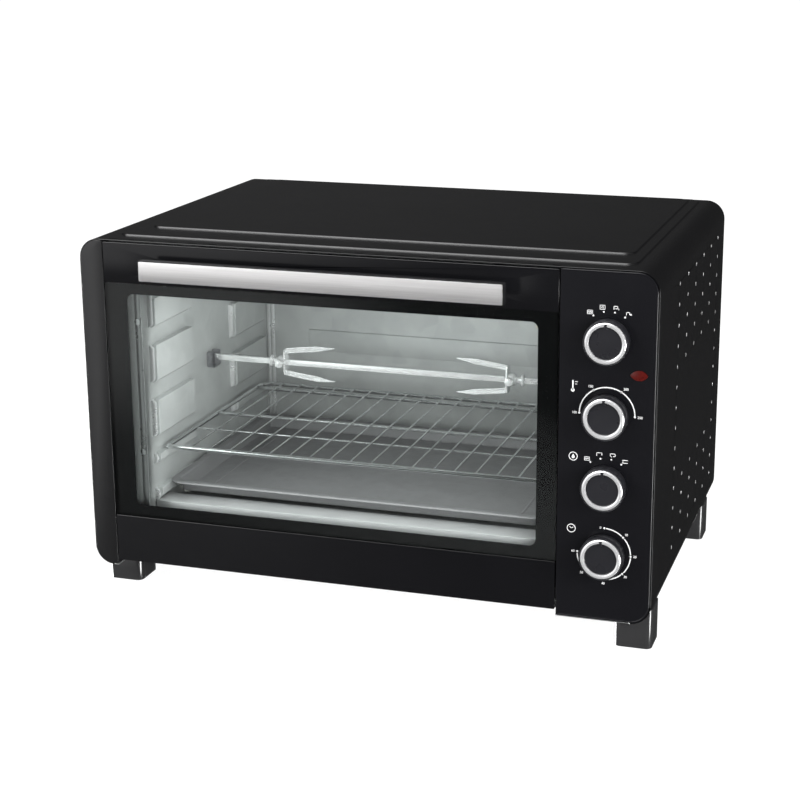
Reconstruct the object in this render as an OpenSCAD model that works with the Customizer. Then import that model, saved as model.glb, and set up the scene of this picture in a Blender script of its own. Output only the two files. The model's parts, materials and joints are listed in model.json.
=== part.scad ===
// Countertop rotisserie oven, built as separate pieces.
// Millimetres. +X right, +Y back, +Z up. The origin lies on the surface that the
// feet stand on, at the middle of the whole object's footprint.
// Every module works from the lower front left corner of the oven's body and
// in_place() shifts it, so that x, y and z below are measured from that corner.

/* [Body] */
// Width of the body
body_w = 578; // [576:1:600]
// Height of the body, without its feet
body_h = 340; // [336:1:356]
// Depth of the body, from the door's face to the rear edge of the shell
body_d = 400; // [396:1:440]
// Radius of the four long edges of the body
corner_r = 20; // [18:1:24]
// Thickness of the painted shell
shell_t = 1; // [0.8:0.1:1.2]
// Height of the feet
foot_h = 27; // [20:1:35]

/* [Door and front] */
// Width of the fixed pillar left of the door
pillar_w = 25; // [24:0.5:26]
// Width of the control panel right of the door
panel_w = 91.5; // [90:0.5:92]
// Height of the door's top rail
top_rail_h = 40; // [36:1:42]
// Height of the door's bottom rail
bottom_rail_h = 48; // [44:1:50]
// Thickness of the door
door_t = 11; // [10:0.5:11]
// Thickness of the door's glass
glass_t = 4; // [3:0.5:5]
// Length of the handle bar
handle_l = 364; // [300:1:400]
// Height of the handle bar
handle_h = 21; // [16:1:24]
// How far the handle stands in front of the door
handle_reach = 26; // [24:1:40]

/* [Oven space] */
// Width of the oven space
cavity_w = 412; // [408:1:414]
// Depth of the oven space behind the front frame
cavity_d = 315; // [305:1:330]
// Height of the floor of the oven space above the bottom of the body
floor_z = 46; // [44:1:47]
// Height of the ceiling of the oven space above the bottom of the body
ceiling_z = 298; // [294:1:304]
// Thickness of the sheet of the oven space
wall_t = 1; // [0.8:0.1:1]

/* [Racks and trays] */
// Height of the wires of the rack above the bottom of the body
rack_z = 117; // [112:1:122]
// Height of the rim of the baking tray above the bottom of the body
tray_z = 80; // [78:1:84]
// Number of thin rods in the rack
rack_rods = 17; // [9:2:19]

/* [Rotisserie] */
// Height of the spit above the bottom of the body
spit_z = 182; // [172:1:190]
// Width of the square spit rod
spit_w = 6; // [5:0.5:7]
// Distance of the left fork from the left end of the spit rod
fork_left_x = 85; // [70:1:130]
// Distance between the two forks
fork_gap = 248; // [200:1:270]

/* [Controls] */
// Diameter of the knobs
knob_d = 42; // [36:1:44]
// How far the knobs stand in front of the panel
knob_reach = 17; // [15:1:20]
// Heights of the four dials above the bottom of the body
dial_z = [68, 135.5, 204, 275];
// Distance of the dials from the right side of the body
dial_inset = 46; // [44:0.5:47]

/* [Hidden] */
$fn = 48;
tiny = 0.01;

// Radial clearance of a fixed pin or tube in its hole
fit_gap = 0.1;

// Overall placing: the handle is the foremost piece, the shell's rear edge the last
front_y = (handle_reach - body_d) / 2;

// Vertical planes, counted back from the door's face
frame_y = 14;
frame_t = 1;
cavity_y = frame_y + frame_t;
cavity_back = cavity_y + cavity_d;
rear_panel_y = body_d - 8;

// Door
door_gap = 1;
door_x0 = pillar_w + door_gap;
door_x1 = body_w - panel_w - 1.5;
door_w = door_x1 - door_x0;
door_z0 = 6.5;
under_door_y = 25;
sill_z = 2.6;
door_z1 = body_h - 2.5;
glass_z0 = door_z0 + bottom_rail_h;
glass_z1 = door_z1 - top_rail_h;
panel_x = body_w - panel_w;
rail_t = 1.2;
hinge_y = 6;
hinge_z = 12;
hinge_pin_d = 6;
bush_l = 13;
arm_r = 60;
arm_w = 8;
arm_t = 2;
arm_inset = 6;

// Oven space
cavity_x0 = 57;
cavity_x1 = cavity_x0 + cavity_w;
cavity_mid = (cavity_x0 + cavity_x1) / 2;
opening_z1 = ceiling_z - 1;

// Shelf guides pressed into both side walls: lower and upper edge of each raised
// block, and the front end of the front and of the rear row. Shelves slide between them
guides = [[66.3, tray_z - 2.7], [104, rack_z - 2.8], [rack_z + 15.2, 171], [189, 228],
    [246, 276]];
guide_y = [32, 228];
guide_l = 85;
guide_depth = 6.5;

// Rotisserie
spit_y = cavity_y + 157;
spit_x0 = cavity_x0 + 3;
journal_l = 8;
socket_x = cavity_x1 - 10;
motor_x = cavity_x1 + 9;
fork_clear = 0.3;
fork_h = 29;
prong_l = 57;
prong_spread = 18.5;

// Convection fan, behind a grille in the right wall
fan_z = 250;
fan_r = 36;
fan_cover_r = 40;
fan_cover_d = 18;
fan_shaft_d = 5;

// Heating elements
element_d = 7;
element_y = [100, 245];
upper_element_z = ceiling_z - 14;
lower_element_z = floor_z + 10;
insulator_d = 12;

// Controls
dial_x = body_w - dial_inset;
shaft_d = 6;
ring_bore = 30.5;
knob_gap = 0.8;
lens_x = body_w - 17;
lens_z = 243.3;
lens_w = 16.4;
lens_h = 9.6;
capillary_y = 30;
bulb_x = cavity_x1 - 12;
bulb_z = ceiling_z - 23;

// Feet
foot_w = 36;
foot_l = 38;
foot_wrap = 12;
feet = [[0, 28], [body_w - foot_w, 8], [0, 316], [body_w - foot_w, 316]];
foot_screw_d = 4;
screw_d = 3.5;

// Vents
side_vent_d = 4;
side_vent_y0 = 109.8;
side_vent_dy = 48.93;
side_vent_z0 = body_h - 32.7;
side_vent_dz = 20.58;

black_paint = [0.08, 0.08, 0.085];
bare_steel = [0.72, 0.73, 0.73];
chrome = [0.85, 0.86, 0.88];

module in_place() {
    translate([-body_w / 2, front_y, foot_h]) children();
}

// Extrudes an x-z outline backwards from y
module along_y(y, len) {
    translate([0, y + len, 0]) rotate([90, 0, 0]) linear_extrude(len) children();
}

// Extrudes a y-z outline to the right from x
module along_x(x, len) {
    translate([x, 0, 0]) rotate([90, 0, 90]) linear_extrude(len) children();
}

module rod_x(x, y, z, len, d) {
    translate([x, y, z]) rotate([0, 90, 0]) cylinder(d = d, h = len);
}

module rod_y(x, y, z, len, d) {
    translate([x, y, z]) rotate([-90, 0, 0]) cylinder(d = d, h = len);
}

module rounded_square(w, h, r) {
    translate([r, 0]) square([w - 2 * r, h]);
    translate([0, r]) square([w, h - 2 * r]);
    for (x = [r, w - r], y = [r, h - r]) translate([x, y]) circle(r = r);
}

// Outline of the body seen from the front, drawn in by inset
module body_outline(inset) {
    translate([inset, inset])
        rounded_square(body_w - 2 * inset, body_h - 2 * inset, corner_r - inset);
}

// The same outline with slightly fuller corners, for sheets that fit inside the shell
module fitted_outline(inset) {
    translate([inset, inset])
        rounded_square(body_w - 2 * inset, body_h - 2 * inset,
            corner_r - inset + 3 * fit_gap);
}

// ---- Casing ----

// Raised panels pressed into the top: front edge, left edge, right edge, rear edge
relief_step = 1.2;
relief_low = [26, 30, body_w - 27, body_d - 6];
relief_high = [68, 45, body_w - 38, body_d - 12];

module relief(edges, inset, z0, z1) {
    translate([edges[1] + inset, edges[0] + inset, z0])
        linear_extrude(z1 - z0)
            rounded_square(edges[2] - edges[1] - 2 * inset,
                edges[3] - edges[0] - 2 * inset, 12 - inset);
}

function is_side_vent(row, col) = row < 5 || row > 9 || col == 0 || col == 5;

module outer_shell() {
    color(black_paint) in_place() difference() {
        union() {
            along_y(0.8, body_d - 0.8) difference() {
                body_outline(0);
                body_outline(shell_t);
                translate([corner_r, -1]) square([body_w - 2 * corner_r, shell_t + 2]);
            }
            relief(relief_low, 0, body_h - tiny, body_h + relief_step);
            relief(relief_high, 0, body_h, body_h + 2 * relief_step);
        }
        relief(relief_low, 1, body_h - 2, body_h + relief_step - shell_t);
        relief(relief_high, 1, body_h - 2, body_h + 2 * relief_step - shell_t);
        for (row = [0:13], col = [0:5]) if (is_side_vent(row, col))
            rod_x(-1, side_vent_y0 + side_vent_dy * col, side_vent_z0 - side_vent_dz * row,
                body_w + 2, side_vent_d, $fn = 16);
        for (i = [0:21])
            translate([30.7 + 21.27 * i, 5.5, body_h - 3]) cube([8, 3.5, 6]);
    }
}

module base_plate() {
    color(bare_steel) in_place() difference() {
        union() {
            translate([corner_r, 0.8, 0])
                cube([body_w - 2 * corner_r, body_d - 0.8, shell_t]);
            translate([door_x0 - 0.5, under_door_y, 0]) cube([door_w + 1, 1, sill_z]);
        }
        translate([door_x0 - 0.5, -1, -1]) cube([door_w + 1, under_door_y + 1, 3]);
        for (i = [0:9], y = [90, 250])
            translate([90 + 40 * i, y, -1]) cube([6, 60, 4]);
        for (p = feet)
            translate([foot_screw_x(p), foot_screw_y(p), -1])
                cylinder(d = foot_screw_d + 2 * fit_gap, h = 4);
    }
}

module rear_panel() {
    color(black_paint) in_place() difference() {
        along_y(rear_panel_y, 1) fitted_outline(shell_t);
        for (x = [70, 190, 310, 430], i = [0:8])
            translate([x, rear_panel_y - 1, 110 + 20 * i]) cube([78, 4, 6]);
        rod_y(gland_x, rear_panel_y - 1, gland_z, 4, gland_d + 2 * fit_gap);
        for (p = rear_screws)
            rod_y(p[0], rear_panel_y - 1, p[1], 4, screw_d + 2 * fit_gap);
    }
}

// Box-shaped front moulding, open at the back
module front_moulding(x0, x1, wall) {
    difference() {
        along_y(0, frame_y) intersection() {
            body_outline(shell_t + 0.4);
            translate([x0, 0]) square([x1 - x0, body_h]);
        }
        along_y(wall, frame_y) intersection() {
            body_outline(shell_t + 0.4 + wall);
            translate([x0 + wall, 0]) square([x1 - x0 - 2 * wall, body_h]);
        }
    }
}

module front_pillar() {
    color(black_paint) in_place() difference() {
        front_moulding(0, pillar_w, 1.5);
        rod_x(pillar_w - 5, hinge_y, hinge_z, 10, hinge_pin_d + 2 * fit_gap);
    }
}

module lens_outline(w, h) {
    r = (w * w / 4 + h * h / 4) / h;
    intersection() {
        translate([lens_x, lens_z + r - h / 2]) circle(r = r, $fn = 96);
        translate([lens_x, lens_z - r + h / 2]) circle(r = r, $fn = 96);
    }
}

module control_panel() {
    color(black_paint) in_place() difference() {
        front_moulding(panel_x, body_w, 2);
        for (z = dial_z) rod_y(dial_x, -1, z, 5, shaft_d + 1.4);
        along_y(-1, 5) lens_outline(lens_w + 2 * fit_gap, lens_h + 2 * fit_gap);
        rod_x(panel_x - 5, hinge_y, hinge_z, 10, hinge_pin_d + 2 * fit_gap);
    }
}

module front_frame() {
    color(bare_steel) in_place() difference() {
        union() {
            along_y(frame_y, frame_t) fitted_outline(shell_t);
            translate([door_x0, frame_y, sill_z]) cube([door_w, under_door_y + 1 - frame_y, 1]);
        }
        translate([door_x0 - 0.5, frame_y - 1, 0]) cube([door_w + 1, frame_t + 2, sill_z]);
        translate([cavity_x0, frame_y - 1, floor_z])
            cube([cavity_w, frame_t + 2, opening_z1 - floor_z]);
        for (z = dial_z) rod_y(dial_x, frame_y - 1, z, 4, shaft_d + 3);
        rod_y(lens_x, frame_y - 1, lens_z, 4, 7);
        for (x = arm_x)
            translate([x - 1.5, frame_y - 1, hinge_z + 52])
                cube([arm_t + 3, frame_t + 2, 15]);
        for (x = frame_screw_x, z = frame_screw_z)
            rod_y(x, frame_y - 1, z, 4, screw_d + 2 * fit_gap);
    }
}

// ---- Oven space ----

// Raised blocks of one row: each has a flat top for a shelf and a bevelled lower edge
module guide_outline() {
    for (g = guides)
        polygon([[0, g[0]], [3.5, g[0]], [guide_depth, g[0] + 3], [guide_depth, g[1]],
            [0, g[1]]]);
}

// Side wall with its guides on the +x side
module side_wall() {
    difference() {
        union() {
            translate([-wall_t, cavity_y, floor_z])
                cube([wall_t, cavity_d, ceiling_z - floor_z]);
            for (y = guide_y) along_y(y, guide_l) guide_outline();
        }
        for (y = element_y, z = [upper_element_z, lower_element_z])
            rod_x(-5, y, z, 10, insulator_d + 2 * fit_gap);
    }
}

module cavity_left_wall() {
    color(bare_steel) in_place() translate([cavity_x0, 0, 0]) side_wall();
}

module cavity_right_wall() {
    color(bare_steel) in_place() difference() {
        translate([cavity_x1, 0, 0]) mirror([1, 0, 0]) side_wall();
        rod_x(cavity_x1 - 5, spit_y, spit_z, 10, 17);
        rod_x(cavity_x1 - 5, capillary_y, bulb_z, 10, 2 + 2 * fit_gap);
        for (ring = [1:3], k = [0:6 * ring - 1])
            rod_x(cavity_x1 - 5, spit_y + 10 * ring * cos(60 * k / ring),
                fan_z + 10 * ring * sin(60 * k / ring), 10, 6, $fn = 16);
        rod_x(cavity_x1 - 5, spit_y, fan_z, 10, 6, $fn = 16);
    }
}

// The rear wall carries a shallow pressed panel
module cavity_rear_wall() {
    x0 = cavity_mid - 152;
    color(bare_steel) in_place() {
        difference() {
            translate([cavity_x0 - wall_t, cavity_back, floor_z])
                cube([cavity_w + 2 * wall_t, wall_t, ceiling_z - floor_z]);
            translate([x0 + 1, cavity_back - 1, 154.5]) cube([302, 3, 23]);
        }
        difference() {
            translate([x0, cavity_back - 2.5, 153.5]) cube([304, 2.5, 25]);
            translate([x0 + 1, cavity_back - 1.5, 154.5]) cube([302, 3, 23]);
        }
    }
}

module cavity_plate(z) {
    translate([cavity_x0 - wall_t, cavity_y, z])
        cube([cavity_w + 2 * wall_t, cavity_d + wall_t, wall_t]);
}

module cavity_top() {
    color(bare_steel) in_place() cavity_plate(ceiling_z);
}

module cavity_floor() {
    color(bare_steel) in_place() cavity_plate(floor_z - wall_t);
}

// ---- Heating ----

module elements(z) {
    for (y = element_y) {
        rod_x(cavity_x0 - 12, y, z, cavity_w + 24, element_d);
        for (x = [cavity_x0 - 20, cavity_x1 + 12]) rod_x(x, y, z, 8, 3);
    }
}

module upper_heating_elements() {
    color([0.35, 0.34, 0.33]) in_place() elements(upper_element_z);
}

module lower_heating_elements() {
    color([0.35, 0.34, 0.33]) in_place() elements(lower_element_z);
}

module element_insulators() {
    color([0.93, 0.92, 0.88]) in_place()
        for (y = element_y, z = [upper_element_z, lower_element_z],
            x = [cavity_x0 - 7, cavity_x1 - 4])
            difference() {
                rod_x(x, y, z, 11, insulator_d);
                rod_x(x - 1, y, z, 13, element_d + 2 * fit_gap);
            }
}

// ---- Rotisserie drive and convection fan ----

module spit_support_bracket() {
    color(bare_steel) in_place() along_x(cavity_x0, 9) difference() {
        translate([spit_y - 9, spit_z - 11]) square([18, 17]);
        translate([spit_y, spit_z]) circle(d = spit_w + 0.7);
        polygon([[spit_y - spit_w / 2 - 0.35, spit_z], [spit_y + spit_w / 2 + 0.35, spit_z],
            [spit_y + 6, spit_z + 7], [spit_y - 6, spit_z + 7]]);
    }
}

module rotisserie_motor() {
    color([0.62, 0.62, 0.6]) in_place() difference() {
        union() {
            rod_x(motor_x, spit_y, spit_z, 22, 50);
            translate([motor_x, spit_y - 40, spit_z - 8]) cube([1.5, 80, 16]);
            for (s = [-1, 1])
                rod_x(cavity_x1 + wall_t, spit_y + 34 * s, spit_z, motor_x - cavity_x1 - wall_t, 6);
        }
        rod_x(motor_x - 1, spit_y, spit_z, 8, 8.1);
    }
}

module fan_cover() {
    x = cavity_x1 + wall_t;
    color(bare_steel) in_place() difference() {
        rod_x(x, spit_y, fan_z, fan_cover_d, 2 * fan_cover_r);
        rod_x(x - 1, spit_y, fan_z, fan_cover_d, 2 * fan_cover_r - 2);
        rod_x(x, spit_y, fan_z, fan_cover_d + 1, fan_shaft_d + 3);
    }
}

module fan_motor() {
    x = cavity_x1 + wall_t + fan_cover_d;
    color([0.55, 0.5, 0.42]) in_place() difference() {
        union() {
            rod_x(x + 5, spit_y, fan_z, 24, 46);
            for (a = [30, 150, 270])
                rod_x(x, spit_y + 18 * cos(a), fan_z + 18 * sin(a), 5 + tiny, 6);
        }
        rod_x(x + 4, spit_y, fan_z, 30, fan_shaft_d + 0.1);
    }
}

// Flat radial blades on a hub
module blades(n, x, len, r) {
    for (k = [0:n - 1])
        translate([x, spit_y, fan_z]) rotate([360 * k / n, 0, 0])
            translate([0, -0.7, 4]) cube([len, 1.4, r - 4]);
}

module convection_fan() {
    x = cavity_x1 + wall_t + 2;
    color([0.78, 0.79, 0.8]) in_place() {
        rod_x(x, spit_y, fan_z, 64, fan_shaft_d);
        rod_x(x + 1, spit_y, fan_z, 10.5, 14);
        rod_x(x + 11, spit_y, fan_z, 1.2, 2 * fan_r - 2);
        blades(8, x + 2, 9.5, fan_r - 2);
        rod_x(x + 49, spit_y, fan_z, 12, 12);
        blades(6, x + 50, 10, 30);
    }
}

// ---- Controls behind the panel ----

module rotary_switch(z) {
    difference() {
        union() {
            rod_y(dial_x, cavity_y, z, 26, 38);
            for (i = [-1:1], s = [-1, 1])
                translate([dial_x + 10 * i - 3, cavity_y + 26, z + 9 * s]) cube([6, 9, 0.8]);
        }
        rod_y(dial_x, cavity_y - 1, z, 9, shaft_d + 0.1);
    }
}

module mode_switch() {
    color([0.85, 0.82, 0.7]) in_place() rotary_switch(dial_z[3]);
}

module heater_switch() {
    color([0.85, 0.82, 0.7]) in_place() rotary_switch(dial_z[1]);
}

// Thermostat with its capillary tube and the bulb inside the oven space
module thermostat() {
    z = dial_z[2];
    tube_x = dial_x - 27;
    color([0.75, 0.74, 0.7]) in_place() {
        difference() {
            translate([dial_x - 17, cavity_y, z - 17]) cube([34, 28, 34]);
            rod_y(dial_x, cavity_y - 1, z, 9, shaft_d + 0.1);
        }
        rod_x(tube_x, capillary_y, z, dial_x - 16 - tube_x, 2);
        translate([tube_x, capillary_y, z]) sphere(d = 2);
        translate([tube_x, capillary_y, z]) cylinder(d = 2, h = bulb_z - z);
        translate([tube_x, capillary_y, bulb_z]) sphere(d = 2);
        rod_x(bulb_x, capillary_y, bulb_z, tube_x - bulb_x, 2);
        translate([bulb_x, capillary_y, bulb_z]) sphere(d = 2);
        rod_y(bulb_x, capillary_y, bulb_z, 20, 2);
        rod_y(bulb_x, 48, bulb_z, 70, 5);
    }
}

module timer() {
    z = dial_z[0];
    color([0.7, 0.7, 0.68]) in_place() difference() {
        union() {
            translate([dial_x - 24, cavity_y, z - 24]) cube([48, 34, 48]);
            rod_y(dial_x, cavity_y + 34, z, 8, 40);
        }
        rod_y(dial_x, cavity_y - 1, z, 9, shaft_d + 0.1);
    }
}

// Neon lamp with its eye-shaped lens
module indicator_lamp() {
    color([0.75, 0.08, 0.04]) in_place() {
        along_y(-0.8, 2.8) lens_outline(lens_w, lens_h);
        rod_y(lens_x, 2, lens_z, frame_y + 12, 6.6);
    }
}

// ---- Hinges ----

module hinge_bracket() {
    translate([12, 2, 5]) cube([2, frame_y - 2, 26]);
    translate([14, frame_y - 1.5, 5]) cube([8, 1.5, 26]);
    rod_x(10, hinge_y, hinge_z, door_x0 + rail_t + bush_l - 10, hinge_pin_d);
}

module hinge_brackets() {
    color(bare_steel) in_place() {
        hinge_bracket();
        translate([door_x0 + door_x1, 0, 0]) mirror([1, 0, 0]) hinge_bracket();
    }
}

// Points of a coil wound about +x, swept as a tube of six sides
coil_turns = 5;
coil_steps = 12;
coil_sides = 5;
coil_r = 3.5;
coil_wire = 0.7;
coil_pitch = 1.25;

function coil_point(k, side, r, wire, pitch) =
    let (a = 360 * k / coil_steps, b = 360 * side / coil_sides,
        rr = r + wire / 2 * cos(b))
    [pitch * k / coil_steps + wire / 2 * sin(b), rr * cos(a), rr * sin(a)];

module coil(r, wire, pitch) {
    n = coil_turns * coil_steps;
    points = [for (k = [0:n], s = [0:coil_sides - 1]) coil_point(k, s, r, wire, pitch)];
    walls = [for (k = [0:n - 1], s = [0:coil_sides - 1])
        let (t = (s + 1) % coil_sides)
        [k * coil_sides + s, (k + 1) * coil_sides + s,
            (k + 1) * coil_sides + t, k * coil_sides + t]];
    ends = [[for (s = [0:coil_sides - 1]) s],
        [for (s = [0:coil_sides - 1]) (n + 1) * coil_sides - 1 - s]];
    polyhedron(points, concat(walls, ends));
}

module door_springs() {
    color([0.5, 0.5, 0.52]) in_place()
        for (x = [14.4, door_x0 + door_x1 - 14.4 - coil_turns * coil_pitch])
            translate([x, hinge_y, hinge_z]) coil(coil_r, coil_wire, coil_pitch);
}

// ---- Feet and fasteners ----

function foot_screw_x(p) = p[0] < body_w / 2 ? p[0] + foot_w - 10 : p[0] + 10;
function foot_screw_y(p) = p[1] + foot_l / 2;

// A foot reaches a little way up the rounded corner of the body
module foot(p) {
    difference() {
        translate([p[0], p[1], -foot_h]) linear_extrude(foot_h + foot_wrap)
            rounded_square(foot_w, foot_l, 6);
        along_y(p[1] - 1, foot_l + 2) body_outline(-0.05);
        translate([foot_screw_x(p), foot_screw_y(p), -foot_h - 1])
            cylinder(d = 9, h = foot_h - 5);
        translate([foot_screw_x(p), foot_screw_y(p), -foot_h - 1])
            cylinder(d = foot_screw_d + 2 * fit_gap, h = foot_h + 2);
    }
}

module foot_front_left() {
    color(black_paint) in_place() foot(feet[0]);
}

module foot_front_right() {
    color(black_paint) in_place() foot(feet[1]);
}

module foot_rear_left() {
    color(black_paint) in_place() foot(feet[2]);
}

module foot_rear_right() {
    color(black_paint) in_place() foot(feet[3]);
}

rear_screws = [[14, 60], [14, 170], [14, 280], [body_w - 14, 60], [body_w - 14, 170],
    [body_w - 14, 280], [body_w / 2, body_h - 12], [body_w / 2, 12]];
frame_screw_x = [cavity_x0 - 3.6, cavity_x1 + 3.6];
frame_screw_z = [121, 256];

module housing_screws() {
    color(chrome) in_place() {
        for (p = rear_screws) {
            rod_y(p[0], rear_panel_y + 1, p[1], 2.2, 7);
            rod_y(p[0], rear_panel_y - 7, p[1], 8 + tiny, screw_d);
        }
        for (x = frame_screw_x, z = frame_screw_z) {
            rod_y(x, frame_y - 1.8, z, 1.8, 6);
            rod_y(x, frame_y - tiny, z, 8, screw_d);
        }
        for (p = feet) translate([foot_screw_x(p), foot_screw_y(p), -9]) {
            cylinder(d = 7.5, h = 3);
            translate([0, 0, 3 - tiny]) cylinder(d = foot_screw_d, h = 11);
        }
    }
}

// ---- Mains inlet ----

gland_x = 540;
gland_z = 34;
gland_d = 14;

module cord_gland() {
    color(black_paint) in_place() difference() {
        union() {
            rod_y(gland_x, rear_panel_y - 8, gland_z, 14, gland_d);
            rod_y(gland_x, rear_panel_y + 1, gland_z, 3, 20);
        }
        rod_y(gland_x, rear_panel_y - 10, gland_z, 20, 7.5);
    }
}

module terminal_block() {
    color([0.9, 0.89, 0.84]) in_place() difference() {
        translate([500, 350, shell_t]) cube([36, 16, 14]);
        for (i = [0:2]) translate([506 + 12 * i, 358, 6]) cylinder(d = 5, h = 20);
    }
}

// ---- Door ----

// Folded channel, open at the back with two lips
module door_rail(z, h) {
    translate([door_x0, 0, z]) difference() {
        cube([door_w, door_t, h]);
        translate([rail_t, rail_t, rail_t])
            cube([door_w - 2 * rail_t, door_t - 2 * rail_t, h - 2 * rail_t]);
        translate([8, door_t - 2 * rail_t, 8]) cube([door_w - 16, 6, h - 16]);
    }
}

module door_top_rail() {
    color(black_paint) in_place() difference() {
        door_rail(glass_z1, top_rail_h);
        for (x = handle_post_x) rod_y(x, -1, handle_z, 4, 4.2);
    }
}

module door_bottom_rail() {
    color(black_paint) in_place() difference() {
        door_rail(door_z0, bottom_rail_h);
        for (x = [door_x0 - 1, door_x1 - 4])
            rod_x(x, hinge_y, hinge_z, 5, hinge_pin_d + 0.8);
    }
}

// Two folded channels that stiffen the free edges of the glass
module door_side_stiles() {
    color(black_paint) in_place() for (x = [door_x0, door_x1 - 14]) difference() {
        translate([x, glass_t, glass_z0]) cube([14, door_t - 1 - glass_t, glass_z1 - glass_z0]);
        translate([x + 1.2, glass_t - 1, glass_z0 - 1])
            cube([11.6, door_t - 1.2 - glass_t, glass_z1 - glass_z0 + 2]);
    }
}

module door_glass() {
    color([0.6, 0.7, 0.7, 0.4]) in_place()
        translate([door_x0, 0, glass_z0]) cube([door_w, glass_t, glass_z1 - glass_z0]);
}

module door_hinge_bushes() {
    color([0.3, 0.3, 0.3]) in_place()
        for (x = [door_x0 + rail_t, door_x1 - rail_t - bush_l]) difference() {
            translate([x, rail_t, door_z0 + rail_t]) cube([bush_l, door_t - 2 * rail_t, 14]);
            rod_x(x - 1, hinge_y, hinge_z, bush_l + 2, hinge_pin_d + 0.1);
        }
}

// Curved arms about the hinge axis: they pass through the front frame and steady
// the door all the way down
arm_x = [door_x0 + arm_inset, door_x1 - arm_inset - arm_t];

module door_check_arms() {
    color(bare_steel) in_place() for (x = arm_x) {
        translate([x, hinge_y, hinge_z]) rotate([0, 90, 0]) rotate([0, 0, 180 - 96])
            rotate_extrude(angle = 90, $fn = 96)
                translate([arm_r - arm_w / 2, 0]) square([arm_w, arm_t]);
        translate([x, door_t - 1, hinge_z + 50]) cube([arm_t, 2.5, 20]);
    }
}

// ---- Handle ----

handle_x = (door_x0 + door_x1) / 2 + 2.2;
handle_z = door_z1 - 21.5;
handle_post_x = [handle_x - handle_l / 2 + 30, handle_x + handle_l / 2 - 30];
facing_t = 1.2;
core_t = 8;

module handle_core() {
    color(black_paint) in_place() difference() {
        union() {
            along_y(facing_t - handle_reach, core_t)
                translate([handle_x - handle_l / 2, handle_z - handle_h / 2])
                    rounded_square(handle_l, handle_h, 2);
            for (x = handle_post_x)
                rod_y(x, facing_t - handle_reach + 1, handle_z, handle_reach - facing_t - 1, 13);
        }
        for (x = handle_post_x) rod_y(x, -14, handle_z, 15, 4.2);
    }
}

module handle_facing() {
    color(bare_steel) in_place() along_y(-handle_reach, facing_t)
        translate([handle_x - handle_l / 2 + 1.2, handle_z - handle_h / 2 + 1])
            rounded_square(handle_l - 2.4, handle_h - 2, 1);
}

module handle_screws() {
    color(chrome) in_place() for (x = handle_post_x) {
        rod_y(x, rail_t, handle_z, 2.4, 8);
        rod_y(x, -13, handle_z, 13 + rail_t + tiny, 4.1);
    }
}

// ---- Racks and trays ----

rack_x0 = cavity_x0 + 3;
rack_y0 = cavity_y + 30;
rack_w = cavity_w - 6;
rack_d = 260;
rack_wire = 5;
rack_rod = 2.6;
rack_front_r = 4;
rack_rear_r = 15;
rack_rod_pitch = 21.7;

module rack_corner(x, y, r, turn) {
    translate([x, y, rack_z]) rotate([0, 0, turn])
        rotate_extrude(angle = 90) translate([r, 0]) circle(d = rack_wire, $fn = 24);
}

module wire_rack() {
    x0 = rack_x0 + rack_wire / 2;
    x1 = rack_x0 + rack_w - rack_wire / 2;
    y0 = rack_y0 + rack_wire / 2;
    y1 = rack_y0 + rack_d - rack_wire / 2;
    color(chrome) in_place() {
        a = rack_front_r;
        b = rack_rear_r;
        rod_x(x0 + a, y0, rack_z, x1 - x0 - 2 * a, rack_wire, $fn = 24);
        rod_x(x0 + b, y1, rack_z, x1 - x0 - 2 * b, rack_wire, $fn = 24);
        for (x = [x0, x1]) rod_y(x, y0 + a, rack_z, y1 - y0 - a - b, rack_wire, $fn = 24);
        rack_corner(x0 + a, y0 + a, a, 180);
        rack_corner(x1 - a, y0 + a, a, 270);
        rack_corner(x1 - b, y1 - b, b, 0);
        rack_corner(x0 + b, y1 - b, b, 90);
        for (y = [68, 127, 234])
            rod_x(x0, y0 + y, rack_z, x1 - x0, 3.5, $fn = 20);
        for (i = [0:rack_rods - 1])
            rod_y(cavity_mid + rack_rod_pitch * (i - (rack_rods - 1) / 2), y0, rack_z + 1.6,
                y1 - y0, rack_rod, $fn = 16);
    }
}

// Section of the baking tray, from the outer rim at 0 inwards
pan_r = 16;
pan_depth = 13.7;

module pan_section() {
    polygon([[0, -1], [0, 0], [8.4, 0], [14.2, 1 - pan_depth], [pan_r, 1 - pan_depth],
        [pan_r, -pan_depth], [13.4, -pan_depth], [7.6, -1]]);
    translate([1.2, -1.2]) circle(r = 1.2, $fn = 24);
}

module pan_side(len) {
    rotate([90, 0, 90]) linear_extrude(len) pan_section();
}

module pan_corner() {
    rotate_extrude(angle = 90) translate([pan_r, 0]) mirror([1, 0]) pan_section();
}

module baking_tray() {
    w = cavity_w - 8;
    d = 262;
    color([0.3, 0.3, 0.31]) in_place() translate([cavity_x0 + 4, rack_y0, tray_z]) {
        translate([pan_r, 0, 0]) pan_side(w - 2 * pan_r);
        translate([w - pan_r, d, 0]) rotate([0, 0, 180]) pan_side(w - 2 * pan_r);
        translate([w, pan_r, 0]) rotate([0, 0, 90]) pan_side(d - 2 * pan_r);
        translate([0, d - pan_r, 0]) rotate([0, 0, 270]) pan_side(d - 2 * pan_r);
        translate([pan_r, pan_r, 0]) rotate([0, 0, 180]) pan_corner();
        translate([w - pan_r, pan_r, 0]) rotate([0, 0, 270]) pan_corner();
        translate([w - pan_r, d - pan_r, 0]) pan_corner();
        translate([pan_r, d - pan_r, 0]) rotate([0, 0, 90]) pan_corner();
        translate([pan_r, pan_r, -pan_depth]) cube([w - 2 * pan_r, d - 2 * pan_r, 1]);
    }
}

// The crumb tray lies under the lower elements; its raised front lip closes the
// oven space below the baking tray
crumb_lip = 2.6;

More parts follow.
